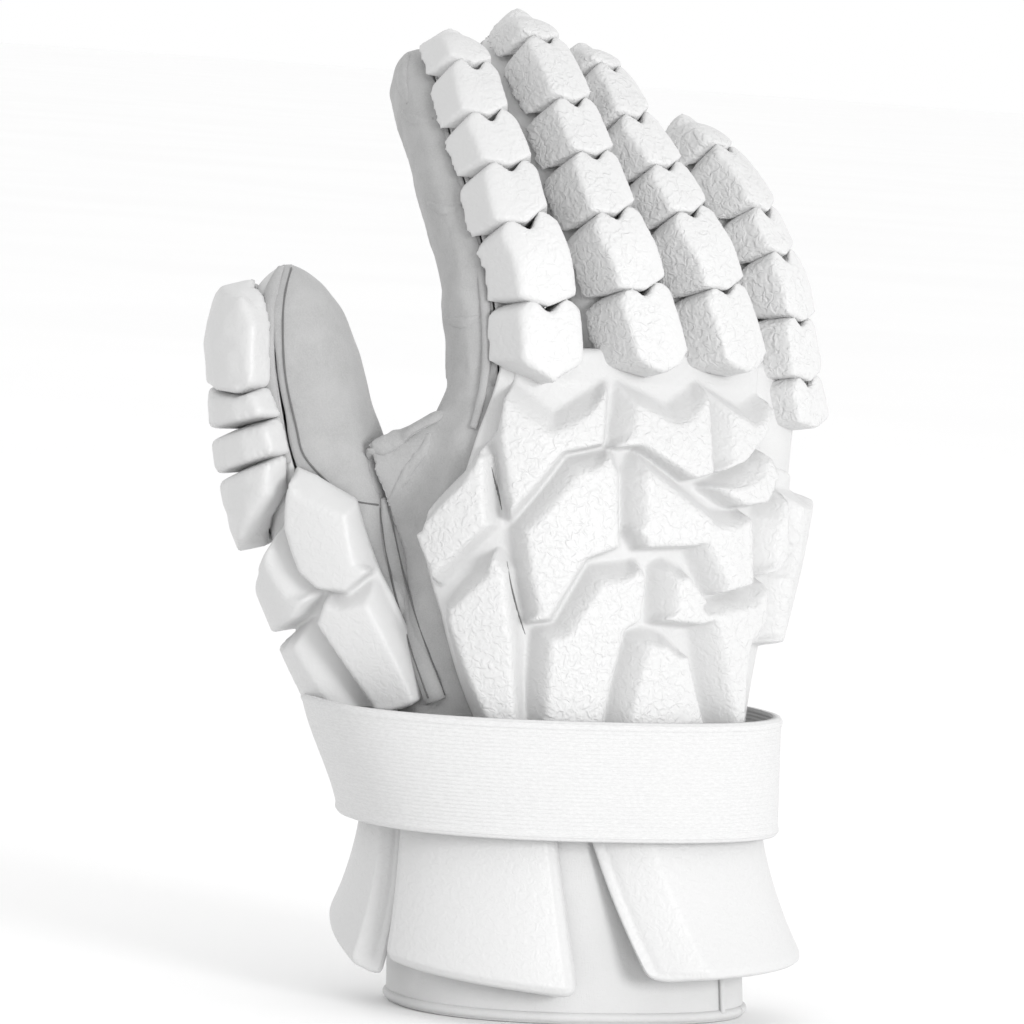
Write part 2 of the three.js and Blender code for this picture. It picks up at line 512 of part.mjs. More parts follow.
function buildCuff() {
  const [low, high] = [0, CUFF_HEIGHT / KNUCKLE_HEIGHT];
  const spot = (s, t, lift) => hand.point(360 * s, low + (high - low) * t, lift);
  const cuff = slab(28, 3, (s, t) => spot(s, t, CUFF_LIFT - CUFF_WALL), (s, t) => spot(s, t, CUFF_LIFT), true);
  add("cuff_wrap", cuff, WHITE_CLOTH);
  for (const [name, flap] of Object.entries(FLAPS)) {
    const at = (s, t, isOuter) => {
      const degrees = THREE.MathUtils.lerp(
        THREE.MathUtils.lerp(...flap.foot, s), THREE.MathUtils.lerp(...flap.top, s), t);
      const foot = THREE.MathUtils.lerp(...flap.low, s);
      const thickness = THREE.MathUtils.lerp(FLAP_THICKNESS, FLAP_TOP_THICKNESS, t);
      const lift = CUFF_LIFT + 1.6 * CLEARANCE + flap.flare * (1 - t) ** 3 + (isOuter ? thickness : 0);
      return hand.point(degrees, THREE.MathUtils.lerp(foot, FLAP_TOP, t) / KNUCKLE_HEIGHT, lift);
    };
    add(name, slab(7, 5, (s, t) => at(s, t, false), (s, t) => at(s, t, true)), WHITE_FOAM);
  }
  const band = limb({
    rows: STRAP_ROWS, foot: STRAP_FOOT, reach: STRAP_WIDTH, halfWidth: SPAN, halfDepth: SPAN, level: true,
  });
  const strap = slab(32, 1, (s, t) => band.point(360 * s, t, -STRAP_THICKNESS), (s, t) => band.point(360 * s, t, 0), true);
  add("strap", strap, WHITE_CLOTH);
}

buildFingers();
buildRolls();
buildCrotch();
buildHand();
buildThumb();
buildCuff();

const box = new THREE.Box3().setFromObject(glove);
const middle = box.getCenter(new THREE.Vector3());
glove.position.set(-middle.x, -middle.y, -box.min.z);

export default glove;
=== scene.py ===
"""A white lacrosse glove for the right hand, standing on its cuff: crackled leather over moulded foam,
grey suede on the palm side, a ribbed elastic strap and a bound cloth cuff. Metres, +Z up to the fingertips,
the back of the hand towards -Y, the thumb towards -X."""

import math

import bmesh
import bpy
import numpy as np
from mathutils import Matrix, Vector, noise
from mathutils.bvhtree import BVHTree


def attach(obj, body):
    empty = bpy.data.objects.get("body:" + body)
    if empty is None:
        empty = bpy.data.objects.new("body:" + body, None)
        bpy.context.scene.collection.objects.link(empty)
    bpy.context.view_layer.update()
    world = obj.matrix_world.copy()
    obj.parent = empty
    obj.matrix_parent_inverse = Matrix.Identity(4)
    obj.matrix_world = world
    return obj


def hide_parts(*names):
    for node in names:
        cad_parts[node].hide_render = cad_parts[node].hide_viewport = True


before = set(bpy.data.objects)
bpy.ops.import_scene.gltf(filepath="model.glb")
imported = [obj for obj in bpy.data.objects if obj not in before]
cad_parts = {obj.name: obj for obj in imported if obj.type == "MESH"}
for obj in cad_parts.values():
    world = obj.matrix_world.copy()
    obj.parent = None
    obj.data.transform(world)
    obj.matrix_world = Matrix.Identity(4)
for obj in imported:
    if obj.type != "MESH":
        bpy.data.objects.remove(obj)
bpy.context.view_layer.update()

MM = 0.001
FINGERS = ("index", "middle", "ring", "little")
ROLLS_PER_FINGER = 6

# Driving sizes: the solids' own, but with a narrower gap and a shallower notch between the rolls
SPAN = 200 * MM
KNUCKLE_HEIGHT = 200 * MM
FINGER_REACH = 120 * MM
FINGER_FOOT = 204 * MM
FINGER_WIDTH = 28 * MM
FINGER_DEPTH = 29 * MM
# Where the hand's own axis stands: the frame is centred on the whole glove
SHIFT = np.array((26.54564, -2.4469, 0.0)) * MM
ROUNDNESS = 2.4
ROLL_HEIGHT = 13.5 * MM
ROLL_WIDTH = 30 * MM
ROLL_CROWN = 0.64
ROLL_GAP = 0.8 * MM
POINT = 3 * MM
HEELS = {"index": 8 * MM, "middle": 7 * MM, "ring": 6 * MM, "little": 3 * MM}
NOTCH = 4.0 * MM
CLEARANCE = 0.5 * MM
PAD_HEIGHT = 10.5 * MM
PAD_FLOOR = 2.2 * MM
CUFF_LIFT = 2 * MM
FLAP_THICKNESS = 9.5 * MM
FLAP_TOP_THICKNESS = 3 * MM
FLAP_TOP = 90 * MM
STRAP_FOOT = 60 * MM
STRAP_WIDTH = 38 * MM
STRAP_THICKNESS = 2.6 * MM

# Section rows: height share, x, y, half width, half depth as shares, turn in degrees
HAND_ROWS = (
    (0.0, 0.0, 0.0, 0.29, 0.19, 24), (0.3, -0.025, 0.0, 0.285, 0.185, 24),
    (0.49, -0.04, 0.0, 0.3, 0.18, 24), (0.65, -0.03, 0.0, 0.31, 0.175, 24),
    (0.8, -0.015, 0.01, 0.325, 0.165, 27), (0.925, 0.005, 0.03, 0.325, 0.14, 31),
    (1.02, 0.025, 0.05, 0.32, 0.11, 34),
)
THUMB_ROWS = (
    (0.4, -0.25, -0.03, 0.11, 0.1, -100), (0.49, -0.29, -0.035, 0.115, 0.11, -100),
    (0.63, -0.35, -0.04, 0.12, 0.115, -102), (0.78, -0.425, -0.04, 0.115, 0.11, -105),
    (0.9, -0.47, -0.035, 0.11, 0.105, -108), (1.0, -0.495, -0.03, 0.1, 0.095, -108),
    (1.1, -0.52, -0.025, 0.09, 0.085, -108), (1.165, -0.53, -0.02, 0.075, 0.07, -108),
)
STRAP_ROWS = ((0.0, -0.032, -0.022, 0.364, 0.248, 24), (1.0, -0.07, -0.022, 0.4, 0.253, 24))
# Per finger: turn, sideways shift in millimetres and width share of the lowest and the top roll, the height
# share of the tip and of the joints between the rolls, and section rows without their turn
FINGER_FORMS = {
    "index": (24, (7, 4), (1.1, 0.8), 0.82, (0.03, 0.18, 0.33, 0.455, 0.575, 0.69, 0.82), (
        (0.0, -0.182, -0.08, 1.18, 1.0), (0.26, -0.2, -0.065, 1.18, 1.0), (0.39, -0.235, -0.04, 1.13, 0.98),
        (0.51, -0.263, 0.0, 1.06, 0.95), (0.64, -0.298, 0.056, 1.0, 0.9), (0.82, -0.34, 0.16, 0.92, 0.85),
    )),
    "middle": (33, (2, 1), (1.0, 0.76), 0.87, (0.04, 0.21, 0.36, 0.5, 0.635, 0.765, 0.88), (
        (0.0, 0.008, -0.01, 0.98, 1.0), (0.28, -0.044, 0.005, 0.98, 1.0), (0.42, -0.088, 0.034, 0.95, 0.98),
        (0.55, -0.124, 0.074, 0.9, 0.95), (0.69, -0.163, 0.127, 0.86, 0.9), (0.87, -0.225, 0.225, 0.82, 0.85),
    )),
    "ring": (43, (0, 0), (0.95, 0.74), 0.8, (0.04, 0.215, 0.365, 0.475, 0.595, 0.705, 0.805), (
        (0.0, 0.137, 0.08, 0.95, 0.98), (0.29, 0.081, 0.096, 0.95, 0.98), (0.42, 0.03, 0.122, 0.92, 0.96),
        (0.52, -0.01, 0.15, 0.88, 0.93), (0.63, -0.057, 0.188, 0.83, 0.89), (0.8, -0.125, 0.272, 0.78, 0.84),
    )),
    "little": (53, (0, 0), (0.9, 0.74), 0.62, (-0.12, 0.01, 0.165, 0.285, 0.395, 0.51, 0.63), (
        (-0.04, 0.232, 0.19, 0.9, 0.94), (0.08, 0.218, 0.192, 0.9, 0.94), (0.22, 0.205, 0.201, 0.88, 0.92),
        (0.31, 0.18, 0.214, 0.86, 0.9), (0.44, 0.14, 0.24, 0.83, 0.86), (0.62, 0.05, 0.31, 0.78, 0.8),
    )),
}

# Camera: a long lens in front of the back of the hand, a little above it, leaning to the left
VIEW_CENTRE = (-1.75 * MM, 0.0, 158.9 * MM)
VIEW_WIDTH = 331.3 * MM
VIEW_DISTANCE = 2.2
VIEW_ELEVATION = 4.0
VIEW_ROLL = 4.0
VIEW_PIXELS = 1024
SENSOR = 36.0
WORLD_STRENGTH = 1.0
KEY_PLACE = (2.4, -2.8, 0.9)
KEY_SIZE = 1.2
KEY_POWER = 70.0
CLIP_NEAR = 0.1
CLIP_FAR = 50.0
FLOOR_REACH = 60.0
FLOOR_DROP = 0.2 * MM
# How far outside the glove a line that looks for its surface starts
OUTSIDE = 0.3
IN_FRONT = 0.5

# Soft forms: voxels, rounds of smoothing, and lengths or shares of the forms' own sizes
ROLL_VOXEL = 0.9 * MM
SUEDE_VOXEL = 1.1 * MM
TIP_SINK = 0.012
TIP_DOME = 2.6 * MM
SUEDE_ROUNDS = 18
# The web is drawn in towards this place across the hand, to this share
WEB_EDGE = -10.6 * MM
WEB_SHARE = 0.93
# The angles, in degrees, from which an edge counts as a rim and up to which two triangles make one quad
RIM_ANGLE = 50.0
JOIN_ANGLE = 60.0
JOIN_DISTANCE = 0.01 * MM
TANGENT_STEP = 0.02
THINNEST = 0.4 * MM
TIP_LEAST = 0.008
# How far a finger starts to close below its tip's height and is closed above it, as shares of its reach
TIP_CLOSING = (0.09, 0.02)
THUMB_TIP = (1.05, 1.17)
ROLL_GRID = (20, 12)
ROLL_SEAT = 0.62
CAP_ARCH = 0.035
CAP_DROP = 0.55
CAP_RISE = 0.02
NOTCH_SPREAD = 0.5
NOTCH_POWER = 1.15
ROLL_ARCH = 3.0 * MM
ARCH_START = 0.45
SHINGLE = 0.1
CROWN_SWELL = 0.9 * MM
ROLL_ROUNDS = 8
RELIEF_PITCH = 0.65 * MM
FLAP_SPAN = 58 * MM
BINDING_HEIGHT = 2.2 * MM
BINDING_RADIUS = 1.7 * MM
BINDING_STEPS = 180
BACK_MIDDLE = 0.75
GUARD_MIDDLE = 0.65
GUARD_SEAT = 0.9 * MM
GUARD_HEIGHT = 10 * MM
THUMB_ROUNDS = 5
THUMB_SWELL = 0.9 * MM
THUMB_STRETCH = 1.07
GUARD_GRAIN = 0.35
GUARD_TUCK = 2.0 * MM
FLAP_GRID = (120, 130)
FLAP_ROUNDS = 4
FLAP_SEAT = 1.6
FLAP_RIM = 0.18
FLAP_CORNER = 5 * MM
HEM_SWELL = 0.5 * MM
RIM_GROOVE = 0.5 * MM
RIM_PLACE = 2.6 * MM
RIM_GROOVE_WIDTH = 0.6 * MM
STRAP_GRID = (200, 60)
RIBS = 30
# The ribs are weak on the thumb's side and reach their full depth between these places across
RIBBED_FROM = (-48 * MM, -8 * MM)
RIB_LEAST = 0.3
HEM_PLACE = 1.6 * MM
# The direction that the long bevels face (round the limb, up), their width and the steep side's, and how
# far a pad's flat top is set in from its outline on the steep side and on the long one
BACK_BEVEL = (-0.6, 0.8, 5.8 * MM, 1.3 * MM, 0.4 * MM, 5.2 * MM)
GUARD_BEVEL = (0.8, 0.6, 6.5 * MM, 1.5 * MM, 0.5 * MM, 5.2 * MM)
BEVEL_SPREAD = 0.35
# The panel's rounded rim: its width in grid steps and the share of the height that it starts at
RIM_STEPS = 3
RIM_SHARE = 0.35

# Unevenness in the materials: repeats per metre, or per stretched unit, then detail, roughness, distortion
CRACKLE = (430, 1.5, 0.5, 0.9)
PORES = (1500, 2.0)
CLOUDS = (18,)
MOTTLE = (90, 4.0, 0.6)
FIBRES = (1900, 3.0, 0.7)
KNIT = (2.0, 2.0, 0.6)
LOOPS = (2600, 2.0)
WEAVE = (2.0, 1.0)
CLOTH_CLOUDS = (30, 2.0)
FLOOR_CLOUDS = (1.5, 2.0)
KNIT_STRETCH = (350, 350, 1300)
WARP_STRETCH = (900, 900, 300)
WEFT_STRETCH = (300, 300, 900)
CRACKLE_DEPTH = 0.3 * MM
NAP_DEPTH = 0.38 * MM
RIB_DEPTH = 0.16 * MM
WEAVE_DEPTH = 0.18 * MM
LEATHER_BRIGHT = 0.63
LEATHER_GLOSS = {"Specular IOR Level": 0.4, "Coat Weight": 0.06, "Coat Roughness": 0.35}
SUEDE_GLOSS = {"Sheen Weight": 0.35, "Sheen Roughness": 0.45, "Specular IOR Level": 0.15}
ELASTIC_GLOSS = {"Sheen Weight": 0.15, "Sheen Roughness": 0.5, "Specular IOR Level": 0.25}
CLOTH_GLOSS = {"Specular IOR Level": 0.3}
FLOOR_GLOSS = {"Specular IOR Level": 0.1}

# How strongly the crackle shows: under a panel, between its pads, on the thumb's pads and on the flaps. Where
# it shows weakly the leather is also painted a little darker, as shade
UNDER_GRAIN = 0.2
FLOOR_GRAIN = 0.25
THUMB_GRAIN = 0.25
FLAP_GRAIN = 0.8

# Unevenness of the suede: height, size and place in the noise
FINGER_WAVES = (0.9 * MM, 9 * MM)
THUMB_WAVES = (0.8 * MM, 16 * MM, 8)
PALM_WAVES = (0.9 * MM, 14 * MM, 9)
WAVE_STEP = (7.3, 3.1, 5.7)

# Linings on the hand: grid, degrees round it, height shares, and lifts of their two faces
KNUCKLE_LINING = ((90, 16), (-58, 72), (0.86, 1.06), (0.2 * MM, 1.4 * MM))
SIDE_GRID = (40, 60)
SIDE_HEIGHTS = (0.45, 1.0)
SIDE_LIFTS = (-3.0 * MM, -1.9 * MM)

# The dome on each fingertip: places along it and radii there, as shares of TIP_DOME
DOME_PLACES = (-0.6, -0.3, 0.0, 0.3, 0.5, 0.6)
DOME_RADII = (1.5, 1.45, 1.3, 1.0, 0.6, 0.1)

# Trimmings: rounds of smoothing, radii, lift off the surface, roughness and flatness
PIPING_ROUNDS = 30
SEAM_ROUNDS = 6
SLIT_RADII = (0.1 * MM, 0.45 * MM, 0.1 * MM)
SEAM_RADIUS = 0.34 * MM
SEAM_LIFT = 0.1 * MM
PIPING_LIFT = 0.7 * MM
PIPING_FUZZ = 0.12 * MM
PIPING_FLAT = 0.6
FOLD_LIFT = -0.3 * MM
FOLD_FUZZ = 0.3 * MM
FOLD_FLAT = 0.5
FUZZ_SIZE = 1.6 * MM
BINDING_LIFT = -0.5 * MM
CUFF_SEAM_RADIUS = 0.3 * MM
LAP_SHIFT = 1.4 * MM
LAP_RADIUS = 1.1 * MM
LAP_LIFT = -0.3 * MM
LAP_FLAT = 0.7

# Moulded pads: corners as degrees round the limb from its back, and share of the knuckles' height
HAND_SHEET = (
    (-50, 0.94), (-52, 1.07), (0, 1.075), (34, 1.07), (35, 0.96), (40, 0.9), (70, 0.88), (74, 0.75),
    (72, 0.55), (66, 0.455), (-40, 0.455), (-57, 0.64), (-71, 0.75), (-71, 0.8), (-58, 0.87),
)
HAND_PADS = (
    ((-57, 1.03), (-34, 0.965), (-21, 1.02), (-18, 0.925), (-28, 0.91), (-33, 0.85), (-38, 0.8),
     (-43, 0.845), (-50, 0.925)),
    ((-17, 1.02), (-9, 1.005), (0, 0.985), (9, 1.022), (15, 0.885), (9, 0.875), (-8, 0.925), (-16, 0.92)),
    ((10, 1.022), (17, 1.005), (25, 0.985), (32, 1.005), (30, 0.95), (24, 0.905), (16, 0.885)),
    ((-37, 0.79), (-32, 0.84), (-27, 0.9), (-16, 0.915), (-12, 0.88), (-7, 0.765), (-15, 0.745), (-22, 0.645),
     (-28, 0.64), (-33, 0.715)),
    ((-8, 0.915), (-4, 0.905), (19, 0.825), (29, 0.825), (35, 0.71), (24, 0.695), (14, 0.77), (-1, 0.765),
     (-6, 0.795), (-10, 0.88)),
    ((15, 0.865), (26, 0.9), (31, 0.925), (37, 0.885), (34, 0.84), (25, 0.835)),
    ((36, 0.82), (41, 0.865), (48, 0.755), (44, 0.73), (38, 0.725)),
    ((-26, 0.63), (-21, 0.64), (-14, 0.73), (-1, 0.74), (2, 0.72), (3, 0.65), (-1, 0.635), (-5, 0.455),
     (-25, 0.455)),
    ((5, 0.735), (8, 0.745), (14, 0.73), (22, 0.685), (36, 0.7), (41, 0.72), (44, 0.65), (39, 0.615),
     (42, 0.455), (35, 0.455), (21, 0.645), (8, 0.65)),
    ((-3, 0.455), (1, 0.625), (6, 0.635), (12, 0.625), (18, 0.6), (28, 0.455)),
    ((44, 0.86), (68, 0.85), (68, 0.72), (60, 0.61), (51, 0.615), (48, 0.72), (50, 0.77)),
    ((-53, 0.92), (-49, 0.9), (-42, 0.79), (-57, 0.69), (-68, 0.765), (-67, 0.795), (-58, 0.86)),
    ((-40, 0.75), (-54, 0.66), (-53, 0.635), (-38, 0.455), (-27, 0.455), (-30, 0.6), (-35, 0.72)),
)
THUMB_SHEET = (
    (-56, 0.745), (20, 0.74), (44, 0.765), (74, 0.8), (92, 0.86), (106, 0.84), (128, 0.79), (122, 0.68),
    (124, 0.49), (-50, 0.49),
)
THUMB_GUARD_PADS = (
    ((-52, 0.735), (20, 0.73), (44, 0.755), (66, 0.785), (75, 0.69), (60, 0.668), (18, 0.65), (-52, 0.65)),
    ((89, 0.855), (104, 0.83), (126, 0.785), (116, 0.69), (95, 0.675), (80, 0.695), (74, 0.725), (75, 0.785)),
    ((24, 0.638), (60, 0.652), (79, 0.46), (40, 0.46)),
    ((70, 0.65), (82, 0.68), (114, 0.67), (120, 0.46), (86, 0.46)),
    ((-48, 0.63), (14, 0.63), (30, 0.46), (-36, 0.46)),
)
# Lines of the suede, as spots of the camera's view
SEAMS = {
    "thumb": ((293, 270), (287, 300), (286, 337), (289, 382), (300, 430), (307, 457), (330, 482), (352, 500),
              (380, 505)),
    "strip_outer": ((382, 508), (391, 568), (407, 630), (430, 695)),
    "strip_inner": ((391, 506), (402, 562), (420, 622), (446, 692)),
}
# Rounded edges of the suede: spots of the view, and radii in millimetres spread evenly along them
PIPING = {
    "strip": (((386, 500), (391, 530), (399, 568), (414, 625), (438, 698)), (2.6, 3.6, 4.2, 4.2, 3.8)),
    "thumb_edge": (((283, 271), (273, 295), (270, 340), (273, 385), (282, 430), (292, 464)),
                   (1.2, 2.6, 2.8, 2.6, 2.2, 1.2)),
    "index_edge": (((443, 100), (456, 145), (470, 190), (478, 240), (486, 300), (488, 350), (484, 395),
                    (474, 430)),
                   (0.9, 1.5, 1.6, 1.6, 1.5, 1.3, 1.2)),
}
# The seam on the cuff's outside and the two slits of the back foam
CUFF_SEAM = ((716, 900), (717, 950), (718, 985), (719, 1012))
SLITS = {
    "upper": ((492, 468), (495, 482), (499, 496), (502, 510)),
    "lower": ((507, 560), (511, 584), (517, 608), (525, 632)),
}
# Rough folds of the suede: spots of the view, and radii in millimetres
FOLDS = {
    "index_tip": (((408, 52), (402, 66), (402, 84), (408, 104)), (1.0, 2.6, 2.6, 1.0)),
    "index_low": (((402, 112), (416, 122), (434, 121)), (0.8, 2.0, 0.8)),
    "index_middle": (((428, 205), (444, 214), (463, 210)), (0.8, 2.0, 0.8)),
    "index_high": (((441, 318), (458, 326), (480, 320)), (0.8, 2.0, 0.8)),
    "between_fingers": (((588, 255), (596, 280), (592, 302), (598, 322)), (1.2, 2.6, 3.6, 1.4)),
    "web_rim": (((374, 448), (386, 446), (400, 438), (412, 429), (428, 421), (444, 415)),
                (1.6, 3.0, 3.2, 3.2, 2.8, 0.8)),
    "web_side": (((374, 449), (375, 462), (380, 482), (386, 502)), (1.6, 2.8, 2.6, 1.0)),
    "web_edge": (((430, 434), (425, 450), (412, 468), (400, 488), (390, 503)), (0.8, 1.7, 1.9, 1.7, 0.8)),
}
# Cuff flaps: degrees round the cuff at the strap and at the foot, the foot's two corner heights, how far the
# foot stands off, and the widths of the left, right and lower edges, negative where the edge is a flat bevel
FLAPS = {
    "flap_thumb": ((-128, -76), (-130, -77), (28, 10), 9, (4, -8, 3.5)),
    "flap_middle": ((-73, -21), (-73, -14), (16, 9), 4, (3, 4, 4)),
    "flap_little": ((-17, 82), (4, 88), (15, 20), 9, (-11, 4, 3)),
}


def linked(name, mesh):
    obj = bpy.data.objects.new(name, mesh)
    bpy.context.scene.collection.objects.link(obj)
    return obj


def copied(name, *nodes):
    """A new object with the solids' faces, its corners joined and its triangles paired into quads."""
    work = bmesh.new()
    for node in nodes:
        work.from_mesh(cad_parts[node].data)
    bmesh.ops.remove_doubles(work, verts=work.verts, dist=JOIN_DISTANCE)
    limit = math.radians(JOIN_ANGLE)
    bmesh.ops.join_triangles(
        work, faces=work.faces, angle_face_threshold=limit, angle_shape_threshold=limit,
        cmp_seam=False, cmp_sharp=False, cmp_uvs=False, cmp_vcols=False, cmp_materials=False,
    )
    mesh = bpy.data.meshes.new(name)
    work.to_mesh(mesh)
    work.free()
    return linked(name, mesh)


def settle(obj):
    """Turns the object's modifiers into its own mesh."""
    graph = bpy.context.evaluated_depsgraph_get()
    made = bpy.data.meshes.new_from_object(obj.evaluated_get(graph))
    obj.modifiers.clear()
    obj.data = made
    for face in obj.data.polygons:
        face.use_smooth = True
    return obj


def softened(obj, voxel, rounds, strength=0.5):
    """Rounds a solid's edges as moulded foam under leather has them."""
    remesh = obj.modifiers.new("even", "REMESH")
    remesh.mode = "VOXEL"
    remesh.voxel_size = voxel
    remesh.use_smooth_shade = True
    smooth = obj.modifiers.new("soft", "SMOOTH")
    smooth.factor = strength
    smooth.iterations = rounds
    return settle(obj)


def rounded(obj, levels, crease=0.7):
    """Subdivides a thin wall and keeps its rims."""
    work = bmesh.new()
    work.from_mesh(obj.data)
    layer = work.edges.layers.float.get("crease_edge") or work.edges.layers.float.new("crease_edge")
    for edge in work.edges:
        if len(edge.link_faces) == 2 and edge.calc_face_angle(0) > math.radians(RIM_ANGLE):
            edge[layer] = crease
    work.to_mesh(obj.data)
    work.free()
    fine = obj.modifiers.new("fine", "SUBSURF")
    fine.levels = levels
    fine.render_levels = levels
    return settle(obj)


def pushed(obj, amount):
    """Moves each point along its normal by amount(place, normal)."""
    normals = [v.normal.copy() for v in obj.data.vertices]
    for vertex, normal in zip(obj.data.vertices, normals):
        vertex.co += normal * amount(vertex.co, normal)
    obj.data.update()
    return obj


def grained(obj, share):
    """Stores how strongly the leather's crackle shows at each point, from share(place, normal)."""
    layer = obj.data.attributes.new("grain", "FLOAT", "POINT")
    for vertex in obj.data.vertices:
        layer.data[vertex.index].value = share(vertex.co, vertex.normal)
    return obj


def eased(low, high, value):
    """A soft step from 0 at low to 1 at high."""
    t = min(max((value - low) / (high - low), 0.0), 1.0)
    return t * t * (3 - 2 * t)


class Limb:
    """A tube through section rows: the hand, the thumb, a finger or the strap."""

    def __init__(self, rows, foot, reach, half=(SPAN, SPAN), turn=None, level=False, tip=None):
        self.rows = np.array([row if turn is None else (*row, turn) for row in rows], float)
        self.foot = foot
        self.reach = reach
        self.half = half
        self.level = level
        self.tip = tip

    def row(self, up):
        """The row at a height share, on smooth curves through the given ones."""
        rows = self.rows
        last = len(rows) - 1
        i = np.clip(np.searchsorted(rows[:, 0], up) - 1, 0, last - 1)
        a, b, c, d = rows[np.maximum(i - 1, 0)], rows[i], rows[i + 1], rows[np.minimum(i + 2, last)]
        t = ((up - b[:, 0]) / (c[:, 0] - b[:, 0]))[:, None]
        smooth = 2 * b + (c - a) * t + (2 * a - 5 * b + 4 * c - d) * t**2 + (3 * b - a - 3 * c + d) * t**3
        return np.where((t < 0) | (t > 1), b + (c - b) * t, smooth / 2)

    def centre(self, up):
        row = self.row(up)
        return np.stack((row[:, 1] * SPAN, row[:, 2] * SPAN, self.foot + up * self.reach), 1) + SHIFT

    def frame(self, up):
        """Centre, direction across, direction out of the back, half width and half depth."""
        row = self.row(up)
        angle = np.radians(row[:, 5])
        along = np.tile((0.0, 0.0, 1.0), (len(up), 1))
        if not self.level:
            along = unit(self.centre(up + TANGENT_STEP) - self.centre(up - TANGENT_STEP))
        out = np.stack((np.sin(angle), -np.cos(angle), np.zeros(len(up))), 1)
        out = unit(out - along * (out * along).sum(1)[:, None])
        return self.centre(up), np.cross(along, out), out, row[:, 3] * self.half[0], row[:, 4] * self.half[1]

    def points(self, degrees, up, lift):
        """Places on the tube: degrees round from its back, height share and lift above it."""
        degrees, up, lift = (np.ravel(v).astype(float) for v in np.broadcast_arrays(degrees, up, lift))
        centre, across, out, wide, thick = self.frame(up)
        s, c = np.sin(np.radians(degrees)), np.cos(np.radians(degrees))
        r = (np.abs(s) ** ROUNDNESS + np.abs(c) ** ROUNDNESS) ** (-1 / ROUNDNESS)
        k = np.ones(len(up))
        if self.tip:
            share = np.clip((up - self.tip[0]) / (self.tip[1] - self.tip[0]), 0, None)
            k = np.sqrt(np.maximum(1 - share**2, TIP_LEAST))
        wide = np.maximum(wide * k + lift, THINNEST)
        thick = np.maximum(thick * k + lift, THINNEST)
        return centre + across * (wide * s * r)[:, None] + out * (thick * c * r)[:, None]


def unit(vectors):
    return vectors / np.linalg.norm(vectors, axis=1)[:, None]


HAND = Limb(HAND_ROWS, 0.0, KNUCKLE_HEIGHT, level=True)
THUMB = Limb(THUMB_ROWS, 0.0, KNUCKLE_HEIGHT, tip=THUMB_TIP)
STRAP = Limb(STRAP_ROWS, STRAP_FOOT, STRAP_WIDTH, level=True)
LIMBS = {
    name: Limb(
        form[5], FINGER_FOOT, FINGER_REACH, (FINGER_WIDTH / 2, FINGER_DEPTH / 2), turn=form[0],
        tip=(form[3] - TIP_CLOSING[0], form[3] + TIP_CLOSING[1]),
    )
    for name, form in FINGER_FORMS.items()
}


def meshed(name, points, faces):
    """A smooth closed mesh with its faces turned outwards."""
    mesh = bpy.data.meshes.new(name)
    mesh.from_pydata([tuple(p) for p in points], [], faces)
    work = bmesh.new()
    work.from_mesh(mesh)
    bmesh.ops.recalc_face_normals(work, faces=work.faces)
    if work.calc_volume(signed=True) < 0:
        bmesh.ops.reverse_faces(work, faces=work.faces)
    work.to_mesh(mesh)
    work.free()
    for face in mesh.polygons:
        face.use_smooth = True
    return linked(name, mesh)


def slab(name, across, along, low, high, ring=False):
    """A closed wall between two grids of points: low and high take s and t from 0 to 1."""
    s, t = np.meshgrid(np.linspace(0, 1, across + 1), np.linspace(0, 1, along + 1))
    if ring:
        s, t = s[:, :-1], t[:, :-1]
    columns = s.shape[1]
    count = s.size
    points = np.concatenate((low(s.ravel(), t.ravel()), high(s.ravel(), t.ravel())))
    faces = []

    def at(side, i, j):
        return int(side * count + j * columns + i % columns)

    for j in range(along):
        for i in range(across):
            for side in (0, 1):
                low_edge = (at(side, i, j), at(side, i + 1, j))
                faces.append((*low_edge, at(side, i + 1, j + 1), at(side, i, j + 1)))
    for i in range(across):
        for j in (0, along):
            faces.append((at(0, i, j), at(0, i + 1, j), at(1, i + 1, j), at(1, i, j)))
    for j in range(along if not ring else 0):
        for i in (0, across):
            faces.append((at(0, i, j), at(0, i, j + 1), at(1, i, j + 1), at(1, i, j)))
    return meshed(name, points, faces)


def outline_distance(x, y, corners):
    """Distance to a closed outline, positive inside, and the step from its nearest point."""
    corners = np.array(corners, float)
    best = np.full(x.shape, 1e9)
    step_x, step_y = np.zeros(x.shape), np.zeros(x.shape)
    inside = np.zeros(x.shape, bool)
    for (ax, ay), (bx, by) in zip(corners, np.roll(corners, -1, 0)):
        run, rise = bx - ax, by - ay
        share = np.clip(((x - ax) * run + (y - ay) * rise) / (run**2 + rise**2), 0, 1)
        dx, dy = x - ax - share * run, y - ay - share * rise
        far = np.hypot(dx, dy)
        closer = far < best
        best = np.where(closer, far, best)
        step_x, step_y = np.where(closer, dx, step_x), np.where(closer, dy, step_y)
        crosses = ((ay > y) != (by > y)) & (x < run * (y - ay) / (rise + 1e-12) + ax)
        inside ^= crosses
    return np.where(inside, best, -best), step_x, step_y


def blurred(grid, rounds):
    """The grid with each value eased towards its four neighbours."""
    for _ in range(rounds):
        wide = np.pad(grid, 1, mode="edge")
        grid = (wide[:-2, 1:-1] + wide[2:, 1:-1] + wide[1:-1, :-2] + wide[1:-1, 2:] + 4 * grid) / 8
    return grid


